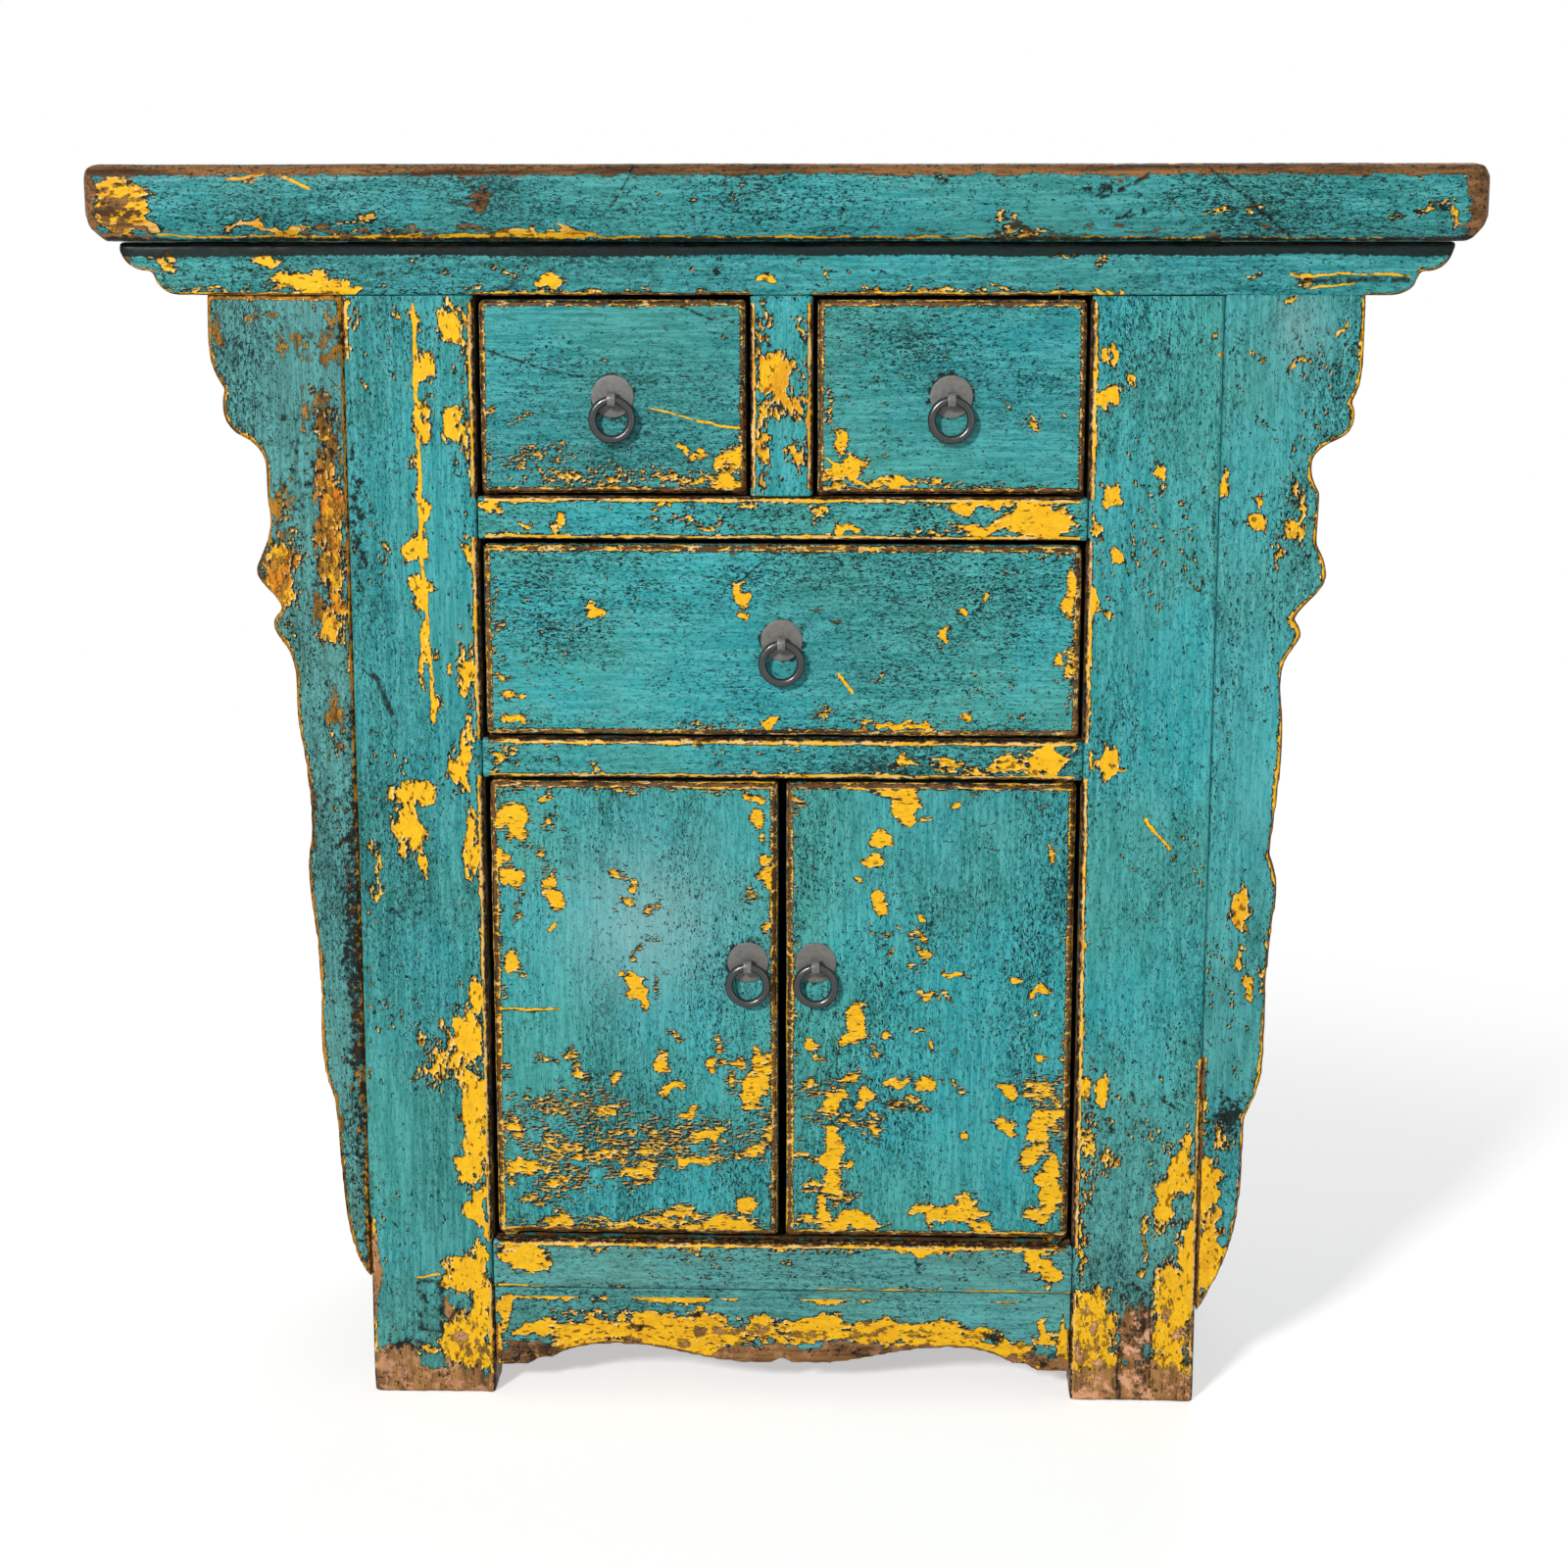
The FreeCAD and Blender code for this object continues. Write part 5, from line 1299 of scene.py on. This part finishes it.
paintedBoards = [
    topFront, topRear, frieze, legLeft, legRight, legRearLeft, legRearRight, wingLeft, wingRight,
    railMiddle, railLower, sillRail, apron, divider, drawerLeft, drawerRight, drawerWide,
    doorLeft, doorRight, sidePanelLeft, sidePanelRight, sideRailsLeft, sideRailsRight,
]
faceCount = sum(wornBoard(piece) for piece in paintedBoards)
print("painted boards:", len(paintedBoards), "with", faceCount, "faces")


# unpainted boards inside, under and behind, with their arrises taken off
def eased(node, offset, segments):
    work = mergedCopy(node)
    bmesh.ops.dissolve_limit(work, angle_limit=0.02, verts=work.verts, edges=work.edges)
    sharp = [e for e in work.edges if e.is_manifold and e.calc_face_angle(0) > 0.5]
    bmesh.ops.bevel(
        work,
        geom=sharp,
        offset=offset * mm,
        segments=segments,
        affect="EDGES",
        profile=0.5,
        clamp_overlap=True,
    )
    bmesh.ops.triangulate(work, faces=[f for f in work.faces if len(f.verts) > 4])
    bmesh.ops.recalc_face_normals(work, faces=work.faces)
    return meshFrom(work, node)


tongue = {"lap": 2.0, "halfThick": 1.5}


def tongued(mesh, axis):
    # loose tongues that close the joints between neighbouring boards
    work = bmesh.new()
    work.from_mesh(mesh)
    spans = sorted(spansOf(work), key=lambda span: span[0][axis])
    lap = tongue["lap"] * mm
    half = tongue["halfThick"] * mm
    thin = int(np.argmin(spans[0][1] - spans[0][0]))
    for before, after in zip(spans, spans[1:]):
        low = np.maximum(before[0], after[0]) + lap
        high = np.minimum(before[1], after[1]) - lap
        low[axis] = before[1][axis] - lap
        high[axis] = after[0][axis] + lap
        middle = (before[0][thin] + before[1][thin]) / 2
        low[thin], high[thin] = middle - half, middle + half
        place = Matrix.Translation((low + high) / 2) @ Matrix.Diagonal((*(high - low), 1))
        bmesh.ops.create_cube(work, size=1, matrix=place)
    work.to_mesh(mesh)
    work.free()


insideWood = {axis: rawWood("insideWood_" + axis, axis, 3 + i, 0.7) for i, axis in enumerate("xyz")}
backWood = rawWood("backWood", "z", 11, 0.35)
rawBoards = {
    "x": ["top_battens", "rear_rails", "floor_boards", "door_left_battens", "door_right_battens"],
    "y": ["floor_bearers", "upper_runners", "lower_runners"],
    "z": ["back_boards"],
}
for drawer in ("drawer_left", "drawer_right", "drawer_wide"):
    rawBoards["y"] += [drawer + "_side_left", drawer + "_side_right"]
    rawBoards["x"] += [drawer + "_back", drawer + "_bottom"]
rawEase = {"inside": 0.7, "back": 2.0}
tongueAxis = {"back_boards": 0, "floor_boards": 1}
for axis, nodes in rawBoards.items():
    for node in nodes:
        behind = node == "back_boards"
        mesh = eased(node, rawEase["back" if behind else "inside"], 2)
        if node in tongueAxis:
            tongued(mesh, tongueAxis[node])
        standIn(node + "_board", mesh, node, backWood if behind else insideWood[axis])
print("unpainted boards made")

# nails in the back, the floor and the door battens
nails = {
    "head": 3.2,  # radius
    "rise": 0.9,
    "fromEnd": 17.0,  # from the ends of a board
    "perBatten": 5,
    "stagger": 0.2,  # up and down, as a share of the batten's width
    "smallest": 0.82,
    "largest": 1.1,
    "sides": 12,
    "levels": 6,
    "seed": 7,
}
nailIron = ironFinish("nailIron", (srgb(70, 60, 54), srgb(104, 78, 60)), 0.6, 0.4)


def nailTree():
    tree = bpy.data.node_groups.new("nailHeads", "GeometryNodeTree")
    kinds = {
        "Geometry": "Geometry", "Head": "Float", "Rise": "Float", "Facing": "Vector", "Seed": "Int",
        "Finish": "Material",
    }
    for key, kind in kinds.items():
        tree.interface.new_socket(key, in_out="INPUT", socket_type="NodeSocket" + kind)
    tree.interface.new_socket("Geometry", in_out="OUTPUT", socket_type="NodeSocketGeometry")
    source = tree.nodes.new("NodeGroupInput").outputs

    def step(kind, inputs, **settings):
        return newNode(tree, kind, inputs, settings).outputs

    points = step("GeometryNodeMeshToPoints", {"Mesh": source["Geometry"]})["Points"]
    facts = {"Segments": nails["sides"], "Rings": nails["levels"], "Radius": 1.0}
    ball = step("GeometryNodeMeshUVSphere", facts)["Mesh"]
    size = step("ShaderNodeCombineXYZ", {0: source["Head"], 1: source["Head"], 2: source["Rise"]})[0]
    head = step("GeometryNodeTransform", {"Geometry": ball, "Scale": size})["Geometry"]
    turn = step("FunctionNodeAlignRotationToVector", {"Vector": source["Facing"]}, axis="Z")["Rotation"]
    facts = {2: nails["smallest"], 3: nails["largest"], "Seed": source["Seed"]}
    vary = step("FunctionNodeRandomValue", facts, data_type="FLOAT")[1]
    facts = {"Points": points, "Instance": head, "Rotation": turn, "Scale": vary}
    placed = step("GeometryNodeInstanceOnPoints", facts)["Instances"]
    real = step("GeometryNodeRealizeInstances", {"Geometry": placed})["Geometry"]
    smooth = step("GeometryNodeSetShadeSmooth", {"Geometry": real})["Geometry"]
    done = step("GeometryNodeSetMaterial", {"Geometry": smooth, "Material": source["Finish"]})["Geometry"]
    sink = tree.nodes.new("NodeGroupOutput").inputs
    tree.links.new(done, sink["Geometry"])
    return tree


nailHeads = nailTree()


def nailRow(name, points, facing, body):
    mesh = bpy.data.meshes.new(name)
    mesh.from_pydata(points, [], [])
    work = linked(name + "_rows", mesh)
    modifier = work.modifiers.new("nailHeads", "NODES")
    modifier.node_group = nailHeads
    facts = {
        "Head": nails["head"] * mm,
        "Rise": nails["rise"] * mm,
        "Facing": facing,
        "Seed": nails["seed"],
        "Finish": nailIron,
    }
    for item in nailHeads.interface.items_tree:
        if item.in_out == "INPUT" and item.name in facts:
            modifier[item.identifier] = facts[item.name]
    thing = linked(name, applied(work))
    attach(thing, body)
    return len(points)


def solidsOf(node):
    work = mergedCopy(node)
    spans = spansOf(work)
    work.free()
    return spans


fromEnd = nails["fromEnd"] * mm
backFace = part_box("back_boards")[1][1]
backNails = []
for low, high in solidsOf("back_boards"):
    for railLow, railHigh in solidsOf("rear_rails"):
        level = (railLow[2] + railHigh[2]) / 2
        if low[2] < level < high[2]:
            backNails += [(low[0] + fromEnd, backFace, level), (high[0] - fromEnd, backFace, level)]
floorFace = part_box("floor_boards")[1][2]
floorNails = []
for low, high in solidsOf("floor_boards"):
    for bearerLow, bearerHigh in solidsOf("floor_bearers"):
        middle = (bearerLow[0] + bearerHigh[0]) / 2
        floorNails += [(middle, low[1] + fromEnd, floorFace), (middle, high[1] - fromEnd, floorFace)]
nailCount = nailRow("back_nails", backNails, (0, 1, 0), "carcass")
nailCount += nailRow("floor_nails", floorNails, (0, 0, 1), "carcass")
for door in ("door_left", "door_right"):
    doorNails = []
    for low, high in solidsOf(door + "_battens"):
        for i in range(nails["perBatten"]):
            share = i / (nails["perBatten"] - 1)
            across = low[0] + fromEnd + share * (high[0] - low[0] - 2 * fromEnd)
            side = nails["stagger"] if i % 2 else -nails["stagger"]
            above = (low[2] + high[2]) / 2 + side * (high[2] - low[2])
            doorNails.append((across, high[1], above))
    nailCount += nailRow(door + "_nails", doorNails, (0, 1, 0), door)
print("nails driven:", nailCount)

# pulls: plate, staple and ring
pulls = {
    "names": ["drawer_left", "drawer_right", "drawer_wide", "door_left", "door_right"],
    "dome": 0.35,  # rise of the plate's face
    "domeSteps": 8,
    "rimRound": 0.35,
    "rimSteps": 3,
    "stapleEase": 0.35,
    "plateSides": 72,
    "ringSides": (96, 24),
    "hammer": 0.07,  # unevenness of the ring's wire
    "seed": 40,
}
plateIron = ironFinish("plateIron", (srgb(112, 111, 107), srgb(98, 97, 94)), 0.45, 0.2)
ringIron = ironFinish("ringIron", (srgb(9, 9, 9), srgb(6, 6, 6)), 0.18, 0.0, 0.9)
stapleIron = ironFinish("stapleIron", (srgb(124, 122, 118), srgb(92, 91, 88)), 0.26, 0.2, 0.5)


def lathed(profile, sides, center, front):
    # profile points are radius and height towards the front
    work = bmesh.new()
    rings = []
    for radius, height in profile:
        if radius == 0:
            rings.append([work.verts.new((center[0], front - height, center[2]))])
            continue
        ring = []
        for i in range(sides):
            angle = 2 * math.pi * i / sides
            x = center[0] + radius * math.cos(angle)
            z = center[2] + radius * math.sin(angle)
            ring.append(work.verts.new((x, front - height, z)))
        rings.append(ring)
    for a, b in zip(rings, rings[1:]):
        for i in range(sides):
            j = (i + 1) % sides
            corners = [a[i % len(a)], a[j % len(a)], b[j % len(b)], b[i % len(b)]]
            corners = list(dict.fromkeys(corners))
            if len(corners) > 2:
                work.faces.new(corners)
    bmesh.ops.recalc_face_normals(work, faces=work.faces)
    mesh = meshFrom(work, "lathed")
    mesh.shade_smooth()
    return mesh


def pullPlate(name):
    node = name + "_plate"
    low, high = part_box(node)
    radius = (high[0] - low[0]) / 2
    thick = high[1] - low[1]
    center = [(low[k] + high[k]) / 2 for k in range(3)]
    rim = pulls["rimRound"] * mm
    face = thick - pulls["dome"] * mm
    # the rear edge is doubled to shade sharp
    profile = [(0, 0), (radius, 0), (radius, 0), (radius, face - rim)]
    for step in range(1, pulls["rimSteps"] + 1):
        angle = math.pi / 2 * step / pulls["rimSteps"]
        profile.append((radius - rim * (1 - math.cos(angle)), face - rim + rim * math.sin(angle)))
    for step in range(1, pulls["domeSteps"] + 1):
        share = 1 - step / pulls["domeSteps"]
        profile.append(((radius - rim) * share, face + (thick - face) * (1 - share**2)))
    standIn(node + "_iron", lathed(profile, pulls["plateSides"], center, high[1]), node, plateIron)


def pullRing(name, seed):
    node = name + "_ring"
    low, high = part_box(node)
    center = Vector([(low[k] + high[k]) / 2 for k in range(3)])
    wire = (high[1] - low[1]) / 2
    middle = (high[0] - low[0]) / 2 - wire
    around, across = pulls["ringSides"]
    random = np.random.default_rng(seed)
    phase = random.random(3) * 6.28
    work = bmesh.new()
    rings = []
    for i in range(around):
        angle = 2 * math.pi * i / around
        outward = Vector((math.cos(angle), 0, math.sin(angle)))
        beat = sum(math.sin(turns * angle + start) for turns, start in zip((3, 7, 11), phase))
        thin = wire - pulls["hammer"] * mm * (1 + beat / 3)
        ring = []
        for j in range(across):
            turn = 2 * math.pi * j / across
            reach = outward * (middle + thin * math.cos(turn)) + Vector((0, thin * math.sin(turn), 0))
            ring.append(work.verts.new(center + reach))
        rings.append(ring)
    for i in range(around):
        a, b = rings[i], rings[(i + 1) % around]
        for j in range(across):
            k = (j + 1) % across
            work.faces.new((a[j], a[k], b[k], b[j]))
    bmesh.ops.recalc_face_normals(work, faces=work.faces)
    mesh = meshFrom(work, node)
    mesh.shade_smooth()
    standIn(node + "_iron", mesh, node, ringIron)


for seed, name in enumerate(pulls["names"]):
    pullPlate(name)
    pullRing(name, pulls["seed"] + seed)
    staple = name + "_staple"
    standIn(staple + "_iron", eased(staple, pulls["stapleEase"], 3), staple, stapleIron)
print("pulls made")

# studio
studio = {
    "key": {"place": (-2.75, -5.7, 3.4), "size": 0.75, "power": 365, "color": (1.0, 0.98, 0.95)},
    "fill": {"place": (2.4, -2.4, 1.3), "size": 2.4, "power": 8, "color": (0.97, 0.99, 1.0)},
    "rear": {"place": (0.6, 2.6, 2.4), "size": 2.0, "power": 34, "color": (1, 1, 1)},
    "target": (0, -0.1, 0.5),
    "ambient": 0.16,
    "floorSpan": ((-7, -6), (7, 7)),
    "floorGlow": 0.5,
    "whiteFrom": 0.75,  # the floor is plain white beyond these distances from the middle
    "whiteTo": 1.5,
}


def lamp(name):
    facts = studio[name]
    light = bpy.data.lights.new(name, "AREA")
    light.energy = facts["power"]
    light.size = facts["size"]
    light.color = facts["color"]
    thing = linked(name, light)
    thing.location = facts["place"]
    aim = Vector(studio["target"]) - Vector(facts["place"])
    thing.rotation_euler = aim.to_track_quat("-Z", "Y").to_euler()
    thing.visible_camera = False


def seenDirectly(tree):
    path = put(tree, "LightPath").outputs
    seen = added(tree, path["Is Camera Ray"], path["Is Glossy Ray"], path["Is Transmission Ray"])
    return calc(tree, "MINIMUM", seen, 1.0)


for name in ("key", "fill", "rear"):
    lamp(name)

world = bpy.data.worlds.new("studio")
scene.world = world
world.use_nodes = True
tree = world.node_tree
soft = put(tree, "Background", {"Color": (1, 1, 1, 1), "Strength": studio["ambient"]})
white = put(tree, "Background", {"Color": (1, 1, 1, 1), "Strength": 1.0})
mix = put(tree, "MixShader", {0: seenDirectly(tree), 1: soft.outputs[0], 2: white.outputs[0]})
tree.links.new(mix.outputs[0], tree.nodes["World Output"].inputs["Surface"])

floorMesh = bpy.data.meshes.new("floor")
(left, front), (right, rear) = studio["floorSpan"]
corners = [(left, front, 0), (right, front, 0), (right, rear, 0), (left, rear, 0)]
floorMesh.from_pydata(corners, [], [(0, 1, 2, 3)])
floor = linked("floor", floorMesh)
material, tree, shader = newMaterial("paleFloor")
shader.inputs["Base Color"].default_value = (0.85, 0.85, 0.85, 1)
shader.inputs["Roughness"].default_value = 0.9
shader.inputs["Specular IOR Level"].default_value = 0.1
shader.inputs["Emission Color"].default_value = (1, 1, 1, 1)
seen = seenDirectly(tree)
tree.links.new(times(tree, seen, studio["floorGlow"]), shader.inputs["Emission Strength"])
place = put(tree, "TexCoord").outputs["Object"]
away = put(tree, "VectorMath", {0: place}, operation="LENGTH").outputs["Value"]
plain = times(tree, seen, fade(tree, away, studio["whiteFrom"], studio["whiteTo"]))
glow = put(tree, "Emission", {"Color": (1, 1, 1, 1), "Strength": 1.0})
mix = put(tree, "MixShader", {0: plain, 1: shader.outputs[0], 2: glow.outputs[0]})
tree.links.new(mix.outputs[0], tree.nodes["Material Output"].inputs["Surface"])
floorMesh.materials.append(material)
print("studio set")

bpy.context.view_layer.update()
